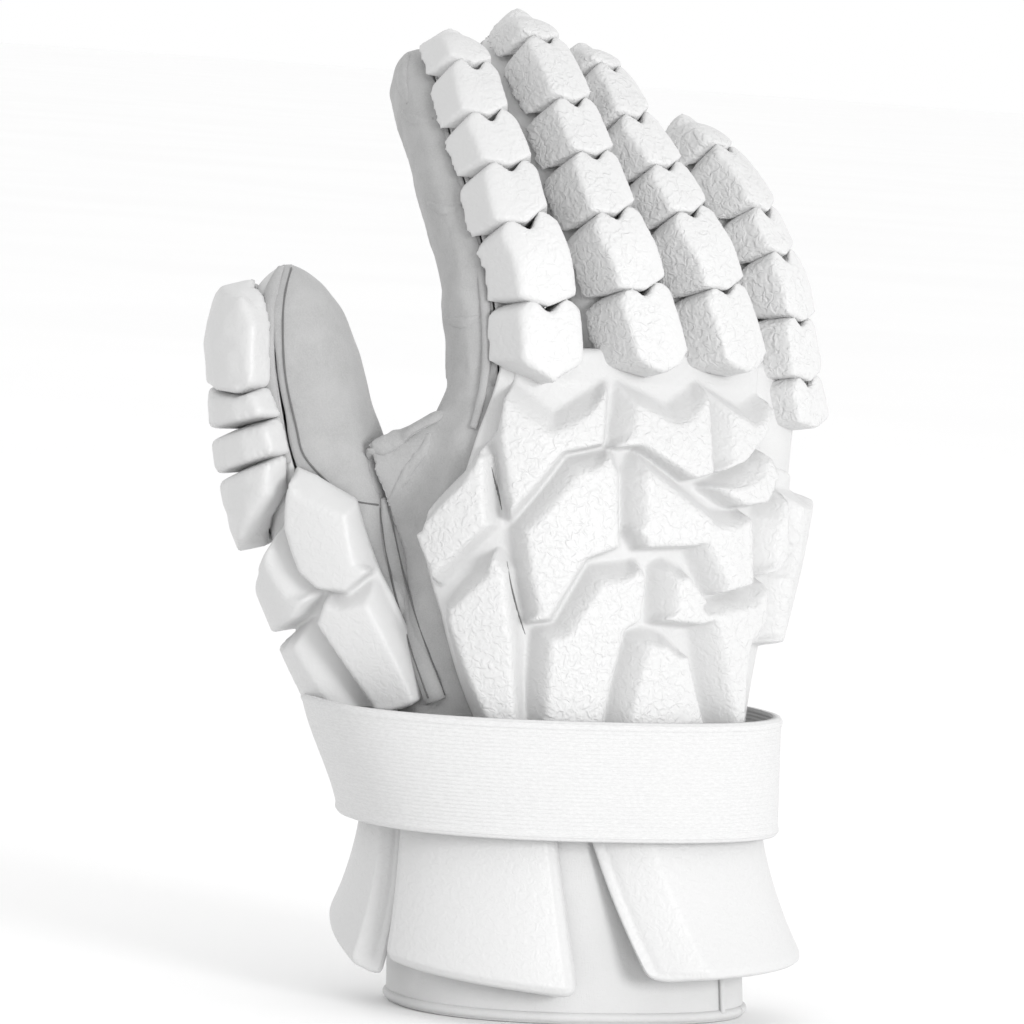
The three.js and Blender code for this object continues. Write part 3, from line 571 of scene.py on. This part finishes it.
def relief(name, body, sheet, pads, at, bevel, base=CLEARANCE, height=PAD_HEIGHT, blur=2):
    """Moulded foam: plateaus on a thin sheet. A pad falls off steeply on one side, and in a long slope on the
    side that bevel's direction faces. Made flat at the limb's width at one height, then wrapped on it."""
    pitch, floor = RELIEF_PITCH, PAD_FLOOR
    toward_x, toward_y, long_width, steep_width, steep_start, long_start = bevel
    row = body.row(np.array([at]))[0]
    scale = (row[3] * body.half[0] + row[4] * body.half[1]) * math.pi / 360
    flat = [(d * scale, up * KNUCKLE_HEIGHT) for d, up in sheet]
    xs = np.arange(min(x for x, _ in flat) - pitch, max(x for x, _ in flat) + 2 * pitch, pitch)
    ys = np.arange(min(y for _, y in flat) - pitch, max(y for _, y in flat) + 2 * pitch, pitch)
    x, y = np.meshgrid(xs, ys)
    lift = np.full(x.shape, floor)
    for pad in pads:
        far, dx, dy = outline_distance(x, y, [(d * scale, up * KNUCKLE_HEIGHT) for d, up in pad])
        away = np.maximum(np.hypot(dx, dy), 1e-9) * np.where(far > 0, -1, 1)
        facing = np.clip((dx * toward_x + dy * toward_y) / away, 0, 1) ** BEVEL_SPREAD
        width = steep_width + (long_width - steep_width) * facing
        start = steep_start + (long_start - steep_start) * facing
        slope = np.clip(1 + np.minimum(far - start, 0) / width, 0, 1)
        lift = np.maximum(lift, floor + (height - floor) * slope)
    lift = blurred(lift, blur)
    far, dx, dy = outline_distance(x, y, flat)
    cell = (far[:-1, :-1] > 0) & (far[1:, :-1] > 0) & (far[:-1, 1:] > 0) & (far[1:, 1:] > 0)
    used = np.zeros(x.shape, bool)
    for j, i in ((0, 0), (0, 1), (1, 0), (1, 1)):
        used[j : j + cell.shape[0], i : i + cell.shape[1]] |= cell
    number = np.where(used, np.cumsum(used).reshape(used.shape) - 1, -1)
    count = int(used.sum())
    whole = np.zeros(x.shape, int)
    for j, i in ((0, 0), (0, 1), (1, 0), (1, 1)):
        whole[j : j + cell.shape[0], i : i + cell.shape[1]] += cell
    border = used & (whole < 4)
    x, y, far = np.where(border, x - dx, x), np.where(border, y - dy, y), np.where(border, 0, far)
    rim = np.clip(far / (RIM_STEPS * pitch), 0, 1)
    top = base + (lift - base) * (RIM_SHARE + (1 - RIM_SHARE) * np.sqrt(1 - (1 - rim) ** 2))
    flat_x, flat_y = x[used] / scale, y[used] / KNUCKLE_HEIGHT
    points = np.concatenate((body.points(flat_x, flat_y, base), body.points(flat_x, flat_y, top[used])))
    faces = []
    rows, columns = np.nonzero(cell)
    edges = {}
    for j, i in zip(rows, columns):
        ring = [int(number[j, i]), int(number[j, i + 1]), int(number[j + 1, i + 1]), int(number[j + 1, i])]
        faces.append(tuple(k + count for k in ring))
        faces.append(tuple(reversed(ring)))
        for a, b in zip(ring, ring[1:] + ring[:1]):
            edges[(a, b)] = edges.get((b, a), 0) + 1
            if (b, a) in edges:
                edges[(b, a)] = 2
                edges[(a, b)] = 2
    for (a, b), times in edges.items():
        if times == 1:
            faces.append((a, b, b + count, a + count))
    obj = meshed(name, points, faces)
    # The crackle is weak under the panel and on the floors between the pads, which also paints them a little
    # darker, as shade
    layer = obj.data.attributes.new("grain", "FLOAT", "POINT")
    crown = np.clip((lift[used] - floor) / (height - floor), 0, 1)
    grain = np.concatenate((np.full(count, UNDER_GRAIN), FLOOR_GRAIN + (1 - FLOOR_GRAIN) * crown**3))
    layer.data.foreach_set("value", grain.astype(np.float32))
    return obj


class Nodes:
    """Short names for a material's nodes."""

    def __init__(self, name):
        self.material = bpy.data.materials.new(name)
        self.material.use_nodes = True
        self.tree = self.material.node_tree
        self.shader = self.tree.nodes["Principled BSDF"]
        self.place = self.tree.nodes.new("ShaderNodeTexCoord").outputs["Object"]

    def link(self, source, target):
        if hasattr(source, "is_output"):
            self.tree.links.new(source, target)
        else:
            target.default_value = source

    def math(self, operation, a, b=0.0, clamp=False):
        node = self.tree.nodes.new("ShaderNodeMath")
        node.operation = operation
        node.use_clamp = clamp
        self.link(a, node.inputs[0])
        self.link(b, node.inputs[1])
        return node.outputs[0]

    def noise(self, scale, detail=2.0, roughness=0.5, distortion=0.0, place=None):
        node = self.tree.nodes.new("ShaderNodeTexNoise")
        node.inputs["Scale"].default_value = scale
        node.inputs["Detail"].default_value = detail
        node.inputs["Roughness"].default_value = roughness
        node.inputs["Distortion"].default_value = distortion
        self.link(place or self.place, node.inputs["Vector"])
        return node.outputs["Fac"]

    def stretched(self, x, y, z):
        node = self.tree.nodes.new("ShaderNodeMapping")
        node.inputs["Scale"].default_value = (x, y, z)
        self.link(self.place, node.inputs["Vector"])
        return node.outputs[0]

    def attribute(self, name):
        node = self.tree.nodes.new("ShaderNodeAttribute")
        node.attribute_name = name
        return node.outputs["Fac"]

    def ranged(self, value, low, high, to_low=0.0, to_high=1.0):
        node = self.tree.nodes.new("ShaderNodeMapRange")
        node.interpolation_type = "SMOOTHSTEP"
        for socket, number in zip(node.inputs, (value, low, high, to_low, to_high)):
            self.link(number, socket)
        return node.outputs[0]

    def blend(self, share, first, second):
        node = self.tree.nodes.new("ShaderNodeMix")
        node.data_type = "RGBA"
        self.link(share, node.inputs["Factor"])
        self.link(first, node.inputs[6])
        self.link(second, node.inputs[7])
        return node.outputs[2]

    def bump(self, height, distance, strength=1.0):
        node = self.tree.nodes.new("ShaderNodeBump")
        node.inputs["Distance"].default_value = distance
        self.link(strength, node.inputs["Strength"])
        self.link(height, node.inputs["Height"])
        return node.outputs[0]

    def finish(self, color, roughness, normal=None, gloss=None):
        self.link(color, self.shader.inputs["Base Color"])
        self.link(roughness, self.shader.inputs["Roughness"])
        if normal:
            self.link(normal, self.shader.inputs["Normal"])
        for name, value in (gloss or {}).items():
            self.shader.inputs[name].default_value = value
        return self.material


def grey(value):
    return (value, value, value, 1.0)


def leather(name, crackle):
    """White coated leather: a fine meandering crackle, stronger where the grain attribute says so, with
    painted shade in its hollows.
    """
    n = Nodes(name)
    lines = n.ranged(n.noise(*CRACKLE), 0.3, 0.7)
    fine = n.noise(*PORES)
    height = n.math("ADD", lines, n.math("MULTIPLY", fine, 0.05))
    strength = n.math("MULTIPLY", n.attribute("grain"), crackle)
    # Painted shade: the crackle's hollows are coloured 2% darker, and so is leather whose grain is weak, such
    # as a panel's underside and the floors between its pads
    white, hollow_shade = grey(LEATHER_BRIGHT), grey(LEATHER_BRIGHT * 0.98)
    color = n.blend(n.math("MULTIPLY", lines, strength, clamp=True), hollow_shade, white)
    tint = n.blend(n.ranged(n.noise(*CLOUDS), 0.35, 0.65), color, grey(LEATHER_BRIGHT * 0.975))
    rough = n.ranged(fine, 0.3, 0.7, 0.4, 0.52)
    return n.finish(tint, rough, n.bump(height, CRACKLE_DEPTH, strength), LEATHER_GLOSS)


def suede(name, shade):
    """Brushed suede: a mottled nap with short fibres."""
    n = Nodes(name)
    mottle = n.noise(*MOTTLE)
    fibre = n.noise(*FIBRES)
    color = n.blend(n.ranged(mottle, 0.3, 0.7), grey(shade), grey(shade * 0.88))
    color = n.blend(n.ranged(fibre, 0.35, 0.7, 0.0, 0.5), color, grey(shade * 1.12))
    height = n.math("ADD", n.math("MULTIPLY", mottle, 0.6), n.math("MULTIPLY", fibre, 0.5))
    return n.finish(color, 0.95, n.bump(height, NAP_DEPTH), SUEDE_GLOSS)


def elastic(name, bright):
    """Ribbed elastic: fine ribs round the band with a knit between them."""
    n = Nodes(name)
    knit = n.noise(*KNIT, place=n.stretched(*KNIT_STRETCH))
    ribs = n.math("SINE", n.math("MULTIPLY", n.attribute("height"), 2 * math.pi * RIBS))
    ribs = n.math("MULTIPLY", ribs, n.attribute("ribbed"))
    loops = n.math("ADD", n.math("MULTIPLY", knit, 0.5), n.math("MULTIPLY", n.noise(*LOOPS), 0.5))
    height = n.math("ADD", n.math("MULTIPLY", ribs, 0.45), loops)
    color = n.blend(n.ranged(knit, 0.35, 0.65), grey(bright), grey(bright * 0.93))
    return n.finish(color, 0.72, n.bump(height, RIB_DEPTH), ELASTIC_GLOSS)


def cloth(name, bright):
    """Smooth coated cloth with a fine weave."""
    n = Nodes(name)
    warp = n.noise(*WEAVE, place=n.stretched(*WARP_STRETCH))
    weft = n.noise(*WEAVE, place=n.stretched(*WEFT_STRETCH))
    color = n.blend(n.ranged(n.noise(*CLOTH_CLOUDS), 0.35, 0.65), grey(bright), grey(bright * 0.95))
    return n.finish(color, 0.6, n.bump(n.math("MULTIPLY", warp, weft), WEAVE_DEPTH), CLOTH_GLOSS)


def plain(name, bright):
    """A painted floor with faint clouding."""
    n = Nodes(name)
    cloud = n.ranged(n.noise(*FLOOR_CLOUDS), 0.3, 0.7)
    return n.finish(n.blend(cloud, grey(bright), grey(bright * 0.985)), 0.9, gloss=FLOOR_GLOSS)


WHITE_LEATHER = leather("white_leather", 0.9)
SMOOTH_LEATHER = leather("smooth_leather", 0.35)
PALM_SUEDE = suede("grey_suede", 0.42)
# Painted shade: a near-black suede laid as thin tubes in the back foam's slits and along the suede's seams
PAINTED_SHADE_LINES = suede("seam_shadow", 0.16)
WHITE_ELASTIC = elastic("white_elastic", 0.66)
WHITE_CLOTH = cloth("white_cloth", 0.63)
PALE_FLOOR = plain("pale_floor", 0.99)

SIDE_LININGS = (
    ("lining_little_side", (45, 92), WHITE_CLOTH, "cloth"),
    ("lining_thumb_side", (-112, -45), PALM_SUEDE, "suede"),
)


def trimming(obj, material):
    """Gives a piece its finish and lets it ride on the glove."""
    obj.data.materials.append(material)
    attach(obj, "root")
    return obj


def dressed(obj, material, slot, *nodes):
    """A trimming that takes the place of the given solids."""
    obj.data.materials.clear()
    trimming(obj, material)
    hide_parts(*nodes)
    return obj


def wavy(amount, size, seed):
    """A gentle unevenness of the given height and size."""
    offset = Vector([seed * step for step in WAVE_STEP])

    def lift(place, normal):
        return amount * noise.fractal(place / size + offset, 1.0, 2.0, 2)

    return lift


def between(pair, share):
    return pair[0] + (pair[1] - pair[0]) * share


def roll_form(finger, k):
    """A roll in its finger's own frame: an arched block with sloping sides, pointed to the wrist."""
    _, shifts, widths, top, joints, _ = FINGER_FORMS[finger]
    share = k / (ROLLS_PER_FINGER - 1)
    size = between(widths, share)
    half = ROLL_WIDTH / 2 * size
    offset = between(shifts, share) * MM
    gap = ROLL_GAP / FINGER_REACH / 2
    is_cap = k + 1 == ROLLS_PER_FINGER
    body = LIMBS[finger]

    def spot(s, t, is_top):
        side = 2 * s - 1
        far = np.abs(side)
        low = joints[k] + gap - (POINT if k else HEELS[finger]) * size / FINGER_REACH * (1 - far)
        notch = NOTCH * np.clip(1 - far / NOTCH_SPREAD, 0, 1) ** NOTCH_POWER
        arch = ROLL_ARCH * np.clip((far - ARCH_START) / (1 - ARCH_START), 0, 1) ** 2
        high = joints[k + 1] - gap - (notch + arch) * size / FINGER_REACH
        if is_cap:
            high = joints[k + 1] - CAP_ARCH * side**2
        centre, across, out, wide, thick = body.frame(np.minimum(low + (high - low) * t, top + CAP_RISE))
        x = side * half * (ROLL_CROWN if is_top else 1) + offset
        rim = np.maximum(1 - np.abs(x / (wide + CLEARANCE)) ** ROUNDNESS, 0) ** (1 / ROUNDNESS)
        seat = (thick + CLEARANCE) * np.maximum(rim, ROLL_SEAT) + CLEARANCE
        if is_top:
            crown = thick + ROLL_HEIGHT * size * (1 - SHINGLE * t**2) + CROWN_SWELL * (1 - far**2)
            seat = seat + (crown - seat) * (1 - (CAP_DROP * t * t if is_cap else 0))
        return centre + across * x[:, None] + out * seat[:, None]

    node = f"roll_{finger}_{k + 1}"
    block = slab("soft_" + node, *ROLL_GRID, lambda s, t: spot(s, t, False), lambda s, t: spot(s, t, True))
    obj = softened(block, ROLL_VOXEL, ROLL_ROUNDS)
    middle = body.frame(np.array([(joints[k] + joints[k + 1]) / 2]))
    centre, across = Vector(middle[0][0]), Vector(middle[1][0])

    def share_of(place, normal):
        """Weak on the index finger, and on the others weaker towards the little finger's side."""
        x = (place - centre).dot(across) / half
        return 0.3 + 0.35 * eased(-0.3, 0.4, x) if finger == "index" else 1 - 0.6 * eased(0.1, 0.7, x)

    return grained(obj, share_of)


def make_rolls():
    for finger in FINGERS:
        for k in range(ROLLS_PER_FINGER):
            obj = roll_form(finger, k)
            dressed(obj, WHITE_LEATHER, "foam", f"roll_{finger}_{k + 1}")


def make_pads():
    back = relief("soft_back_foam", HAND, HAND_SHEET, HAND_PADS, BACK_MIDDLE, BACK_BEVEL)
    guard = relief("soft_thumb_guard", THUMB, THUMB_SHEET, THUMB_GUARD_PADS, GUARD_MIDDLE, GUARD_BEVEL,
                   base=GUARD_SEAT, height=GUARD_HEIGHT)
    for vertex in guard.data.vertices:
        vertex.co.z = max(vertex.co.z, STRAP_FOOT + STRAP_WIDTH - GUARD_TUCK)
    for item in guard.data.attributes["grain"].data:
        item.value *= GUARD_GRAIN
    for obj, node in ((back, "back_foam"), (guard, "thumb_guard")):
        dressed(obj, WHITE_LEATHER, "foam", node)
    for node in ("thumb_cap", "thumb_roll_1", "thumb_roll_2", "thumb_roll_3"):
        obj = softened(copied("soft_" + node, node), ROLL_VOXEL, THUMB_ROUNDS)
        pushed(obj, lambda place, normal: THUMB_SWELL)
        heights = [vertex.co.z for vertex in obj.data.vertices]
        level = (min(heights) + max(heights)) / 2
        for vertex in obj.data.vertices:
            vertex.co.z = level + (vertex.co.z - level) * THUMB_STRETCH
        grained(obj, lambda place, normal: THUMB_GRAIN)
        dressed(obj, WHITE_LEATHER, "foam", node)
    return back


def flap_form(name):
    """A cuff flap: thin under the strap, thick at the foot, with a bevelled edge or a rounded one."""
    top, foot, low, flare, edges = FLAPS[name]

    def rim(distance, width):
        share = np.clip(distance / abs(width), 0, 1)
        return share if width < 0 else np.sqrt(np.maximum(1 - (1 - share) ** 2, 0))

    def spot(s, t, is_outer):
        degrees = between((between(foot, s), between(top, s)), t)
        corner = np.clip(1 - np.minimum(s, 1 - s) * FLAP_SPAN / FLAP_CORNER, 0, 1)
        heel = between(low, s) * MM + FLAP_CORNER * (1 - np.sqrt(1 - corner**2))
        thickness = between((FLAP_THICKNESS, FLAP_TOP_THICKNESS), t)
        cover = rim(s * FLAP_SPAN, edges[0] * MM) * rim((1 - s) * FLAP_SPAN, edges[1] * MM)
        cover = cover * rim(t * (FLAP_TOP - heel), edges[2] * MM)
        lift = CUFF_LIFT + FLAP_SEAT * CLEARANCE + flare * MM * (1 - t) ** 3
        edge = np.minimum(np.minimum(s, 1 - s) * FLAP_SPAN, t * (FLAP_TOP - heel))
        groove = RIM_GROOVE * np.exp(-(((edge - RIM_PLACE) / RIM_GROOVE_WIDTH) ** 2))
        lift = lift + (thickness * (FLAP_RIM + (1 - FLAP_RIM) * cover) - groove if is_outer else 0)
        return HAND.points(degrees, between((heel, FLAP_TOP), t) / KNUCKLE_HEIGHT, lift)

    return slab("soft_" + name, *FLAP_GRID, lambda s, t: spot(s, t, False), lambda s, t: spot(s, t, True))


def make_flaps():
    for name in FLAPS:
        obj = flap_form(name)
        smooth = obj.modifiers.new("soft", "SMOOTH")
        smooth.iterations = FLAP_ROUNDS
        settle(obj)
        grained(obj, lambda place, normal: FLAP_GRAIN)
        dressed(obj, SMOOTH_LEATHER, "foam", name)


def make_fingers():
    """The cloth backs of the fingers, and the suede of all but the index finger, which joins the palm."""
    skins = []
    for number, finger in enumerate(FINGERS):
        back = rounded(copied("lining_" + finger, "backing_" + finger), 2)
        dressed(back, WHITE_CLOTH, "cloth", "backing_" + finger)
        if finger == "index":
            continue
        shell = rounded(copied("skin_" + finger, "suede_" + finger), 3)
        pushed(shell, wavy(*FINGER_WAVES, number))
        skins.append(shell)
        dressed(shell, PALM_SUEDE, "suede", "suede_" + finger)
    return skins


def make_thumb():
    shell = rounded(copied("skin_thumb", "suede_thumb"), 3)
    pushed(shell, wavy(*THUMB_WAVES))
    dressed(shell, PALM_SUEDE, "suede", "suede_thumb")
    back = rounded(copied("lining_thumb", "backing_thumb"), 2)
    dressed(back, WHITE_CLOTH, "cloth", "backing_thumb")
    return [shell, back]


def make_palm():
    """The palm, web and index finger as one skin. The index finger's own wall stays under it, as the joined
    skin has holes at the fingertip."""
    web = copied("web", "thumb_web")
    for vertex in web.data.vertices:
        vertex.co.x = WEB_EDGE + (vertex.co.x - WEB_EDGE) * WEB_SHARE
    under = rounded(copied("skin_index", "suede_index", "crotch"), 3)
    dressed(under, PALM_SUEDE, "suede", "suede_index", "crotch")
    palm = copied("skin_palm", "palm", "crotch", "suede_index")
    work = bmesh.new()
    work.from_mesh(palm.data)
    work.from_mesh(web.data)
    work.to_mesh(palm.data)
    work.free()
    bpy.data.objects.remove(web)
    softened(palm, SUEDE_VOXEL, SUEDE_ROUNDS)
    pushed(palm, wavy(*PALM_WAVES))
    dressed(palm, PALM_SUEDE, "suede", "palm", "thumb_web")
    return [under, palm]


def make_domes():
    """A small dome of suede closes each fingertip."""
    radii = [TIP_DOME * share for share in DOME_RADII]
    for name, limb in (*LIMBS.items(), ("thumb", THUMB)):
        start, top = limb.tip
        sunk = top - TIP_SINK
        end = Vector(limb.points(0, sunk, 0)[0] + limb.points(180, sunk, 0)[0]) / 2
        ahead = Vector(limb.centre(np.array([top]))[0] - limb.centre(np.array([start]))[0]).normalized()
        side = ahead.orthogonal()
        places = [(end + ahead * TIP_DOME * share, side) for share in DOME_PLACES]
        trimming(tube("tip_" + name, places, radii, 0.0, 20), PALM_SUEDE)


def lining_form(name, grid, degrees, heights, lifts):
    """A thin wall that follows the hand."""

    def face(lift):
        return lambda s, t: HAND.points(between(degrees, s), between(heights, t), lift)

    return slab(name, *grid, face(lifts[0]), face(lifts[1]))


def make_linings():
    """Linings behind the back foam, which close the hand between it and the suede."""
    lining = trimming(lining_form("lining_knuckles", *KNUCKLE_LINING), WHITE_CLOTH)
    for name, degrees, material, slot in SIDE_LININGS:
        side = trimming(lining_form(name, SIDE_GRID, degrees, SIDE_HEIGHTS, SIDE_LIFTS), material)


def seen(px, py):
    """The place in the plane y = 0 that lies at this spot of the view, which is 1024 wide and high."""
    rise, roll = math.radians(VIEW_ELEVATION), math.radians(VIEW_ROLL)
    step = VIEW_WIDTH / VIEW_PIXELS
    right, up = (px - VIEW_PIXELS / 2) * step, (VIEW_PIXELS / 2 - py) * step
    x = right * math.cos(roll) - up * math.sin(roll)
    z = (right * math.sin(roll) + up * math.cos(roll)) / math.cos(rise)
    return Vector((VIEW_CENTRE[0] + x, 0, VIEW_CENTRE[2] + z))


def tree_of(*objects):
    """The joined faces of these pieces, to lay details on."""
    points, faces = [], []
    for obj in objects:
        start = len(points)
        points += [v.co.copy() for v in obj.data.vertices]
        faces += [tuple(start + k for k in face.vertices) for face in obj.data.polygons]
    return BVHTree.FromPolygons(points, faces)


def laid(path, tree, steps=8, rounds=2):
    """A smooth path through the view's spots, dropped on the surface behind them."""
    rise = math.radians(VIEW_ELEVATION)
    ahead = Vector((0.0, math.cos(rise), -math.sin(rise)))
    spots = np.array(path, float)
    count = len(spots)
    places = []
    for k in range((count - 1) * steps + 1):
        i, t = min(k // steps, count - 2), k / steps - min(k // steps, count - 2)
        a, b, c, d = spots[max(i - 1, 0)], spots[i], spots[i + 1], spots[min(i + 2, count - 1)]
        spot = (2 * b + (c - a) * t + (2 * a - 5 * b + 4 * c - d) * t**2 + (3 * b - a - 3 * c + d) * t**3) / 2
        place, normal, _, _ = tree.ray_cast(seen(*spot) - ahead * IN_FRONT, ahead)
        if place is not None:
            places.append((place, normal))
    for _ in range(rounds):
        smooth = [places[0]]
        for a, b, c in zip(places, places[1:], places[2:]):
            smooth.append(((a[0] + 2 * b[0] + c[0]) / 4, (a[1] + b[1] + c[1]).normalized()))
        places = smooth + [places[-1]]
    return places


def tube(name, places, radii, lift=0.0, sides=10, fuzz=0.0, flat=1.0):
    """A closed tube along places on a surface, lifted off it and thicker or thinner on the way."""
    points, faces = [], []
    last = len(places) - 1
    for k, (place, normal) in enumerate(places):
        ahead = (places[min(k + 1, last)][0] - places[max(k - 1, 0)][0]).normalized()
        across = ahead.cross(normal).normalized()
        out = across.cross(ahead)
        radius = float(np.interp(k / last, np.linspace(0, 1, len(radii)), radii))
        for i in range(sides):
            angle = 2 * math.pi * i / sides
            spot = place + normal * lift + across * radius * math.cos(angle)
            spot += out * radius * flat * math.sin(angle)
            if fuzz:
                spot += noise.noise_vector(spot / FUZZ_SIZE) * fuzz
            points.append(spot)
    for k in range(last):
        for i in range(sides):
            j = (i + 1) % sides
            faces.append((k * sides + i, k * sides + j, (k + 1) * sides + j, (k + 1) * sides + i))
    faces.append(tuple(range(sides)))
    faces.append(tuple(last * sides + i for i in range(sides)))
    return meshed(name, points, faces)


def millimetres(radii):
    return [radius * MM for radius in radii]


def make_seams(skins, back):
    """Piping, seams, raw edges and folds, laid where they are seen. The slits and the seam lines are
    near-black tubes of painted shade.
    """
    tree = tree_of(back)
    for name, path in SLITS.items():
        slit = tube("slit_" + name, laid(path, tree), SLIT_RADII, 0.0, 8)
        trimming(slit, PAINTED_SHADE_LINES)
    tree = tree_of(*skins)
    pipes = []
    for name, (path, radii) in PIPING.items():
        places = laid(path, tree, rounds=PIPING_ROUNDS)
        pipe = tube("piping_" + name, places, millimetres(radii), PIPING_LIFT, 18, PIPING_FUZZ, PIPING_FLAT)
        pipes.append(trimming(pipe, PALM_SUEDE))
    lines = tree_of(*skins, *pipes)
    for name, path in SEAMS.items():
        places = laid(path, lines, rounds=SEAM_ROUNDS)
        seam = tube("seam_" + name, places, (SEAM_RADIUS,), SEAM_LIFT, 8)
        trimming(seam, PAINTED_SHADE_LINES)
    for name, (path, radii) in FOLDS.items():
        fold = tube("fold_" + name, laid(path, tree), millimetres(radii), FOLD_LIFT, 20, FOLD_FUZZ, FOLD_FLAT)
        trimming(fold, PALM_SUEDE)


def make_cuff():
    cuff = rounded(copied("soft_cuff", "cuff_wrap"), 3)
    dressed(cuff, WHITE_CLOTH, "cloth", "cuff_wrap")

    tree = tree_of(cuff)
    middle = Vector((SHIFT[0] + HAND_ROWS[0][1] * SPAN, SHIFT[1] + HAND_ROWS[0][2] * SPAN, BINDING_HEIGHT))
    foot = []
    for k in range(BINDING_STEPS + 1):
        angle = math.tau * k / BINDING_STEPS
        away = Vector((math.cos(angle), math.sin(angle), 0.0))
        place, normal, _, _ = tree.ray_cast(middle + away * OUTSIDE, -away)
        foot.append((place, normal))
    trimming(tube("binding", foot, (BINDING_RADIUS,), BINDING_LIFT, 14), WHITE_CLOTH)
    seam = laid(CUFF_SEAM, tree)
    trimming(tube("cuff_seam", seam, (CUFF_SEAM_RADIUS,), 0.0, 8), PALM_SUEDE)
    beside = [(place + Vector((LAP_SHIFT, 0, 0)), normal) for place, normal in seam]
    lap = tube("cuff_lap", beside, (LAP_RADIUS,), LAP_LIFT, 12, 0.0, LAP_FLAT)
    trimming(lap, WHITE_CLOTH)


def make_strap():
    def face(s, t, inner):
        edge = np.minimum(t, 1 - t) * STRAP_WIDTH
        hem = HEM_SWELL * np.clip(1 - np.abs(edge - HEM_PLACE) / HEM_PLACE, 0, 1)
        rounding = HEM_SWELL * np.clip(1 - edge / HEM_PLACE, 0, 1) ** 2
        return STRAP.points(360 * s, t, -STRAP_THICKNESS if inner else hem - rounding)

    strap = slab("band", *STRAP_GRID, lambda s, t: face(s, t, True), lambda s, t: face(s, t, False), ring=True)
    height = strap.data.attributes.new("height", "FLOAT", "POINT")
    ribbed = strap.data.attributes.new("ribbed", "FLOAT", "POINT")
    for vertex in strap.data.vertices:
        height.data[vertex.index].value = (vertex.co.z - STRAP_FOOT) / STRAP_WIDTH
        ribbed.data[vertex.index].value = RIB_LEAST + (1 - RIB_LEAST) * eased(*RIBBED_FROM, vertex.co.x)
    dressed(strap, WHITE_ELASTIC, "strap_elastic", "strap")


def make_floor():
    mesh = bpy.data.meshes.new("floor")
    signs = ((-1, -1), (1, -1), (1, 1), (-1, 1))
    corners = [(x * FLOOR_REACH, y * FLOOR_REACH, -FLOOR_DROP) for x, y in signs]
    mesh.from_pydata(corners, [], [(0, 1, 2, 3)])
    floor = linked("floor", mesh)
    mesh.materials.append(PALE_FLOOR)


def make_lamp(name, place, size, power):
    """A square soft lamp turned to the glove."""
    data = bpy.data.lights.new(name, "AREA")
    data.shape = "SQUARE"
    data.size = size
    data.energy = power
    lamp = bpy.data.objects.new(name, data)
    bpy.context.scene.collection.objects.link(lamp)
    lamp.location = place
    lamp.rotation_euler = (Vector(VIEW_CENTRE) - Vector(place)).to_track_quat("-Z", "Y").to_euler()


def make_studio():
    world = bpy.data.worlds.new("studio")
    bpy.context.scene.world = world
    world.use_nodes = True
    world.node_tree.nodes["Background"].inputs["Color"].default_value = grey(1.0)
    world.node_tree.nodes["Background"].inputs["Strength"].default_value = WORLD_STRENGTH
    make_lamp("key", KEY_PLACE, KEY_SIZE, KEY_POWER)
    bpy.context.scene.view_settings.view_transform = "Standard"


def make_camera():
    data = bpy.data.cameras.new("camera")
    data.sensor_width = SENSOR
    data.lens = SENSOR * VIEW_DISTANCE / VIEW_WIDTH
    data.clip_start = CLIP_NEAR
    data.clip_end = CLIP_FAR
    camera = bpy.data.objects.new("camera", data)
    bpy.context.scene.collection.objects.link(camera)
    rise = math.radians(VIEW_ELEVATION)
    roll = math.radians(VIEW_ROLL)
    ahead = Vector((0.0, math.cos(rise), -math.sin(rise)))
    level = Vector((1.0, 0.0, 0.0))
    upright = level.cross(ahead)
    right = level * math.cos(roll) + upright * math.sin(roll)
    up = upright * math.cos(roll) - level * math.sin(roll)
    turn = Matrix((right, up, -ahead)).transposed().to_4x4()
    camera.matrix_world = Matrix.Translation(Vector(VIEW_CENTRE) - ahead * VIEW_DISTANCE) @ turn
    bpy.context.scene.camera = camera


make_camera()
make_rolls()
back = make_pads()
make_flaps()
skins = make_fingers() + make_thumb() + make_palm()
make_domes()
make_linings()
make_seams(skins, back)
make_cuff()
make_strap()
make_floor()
make_studio()
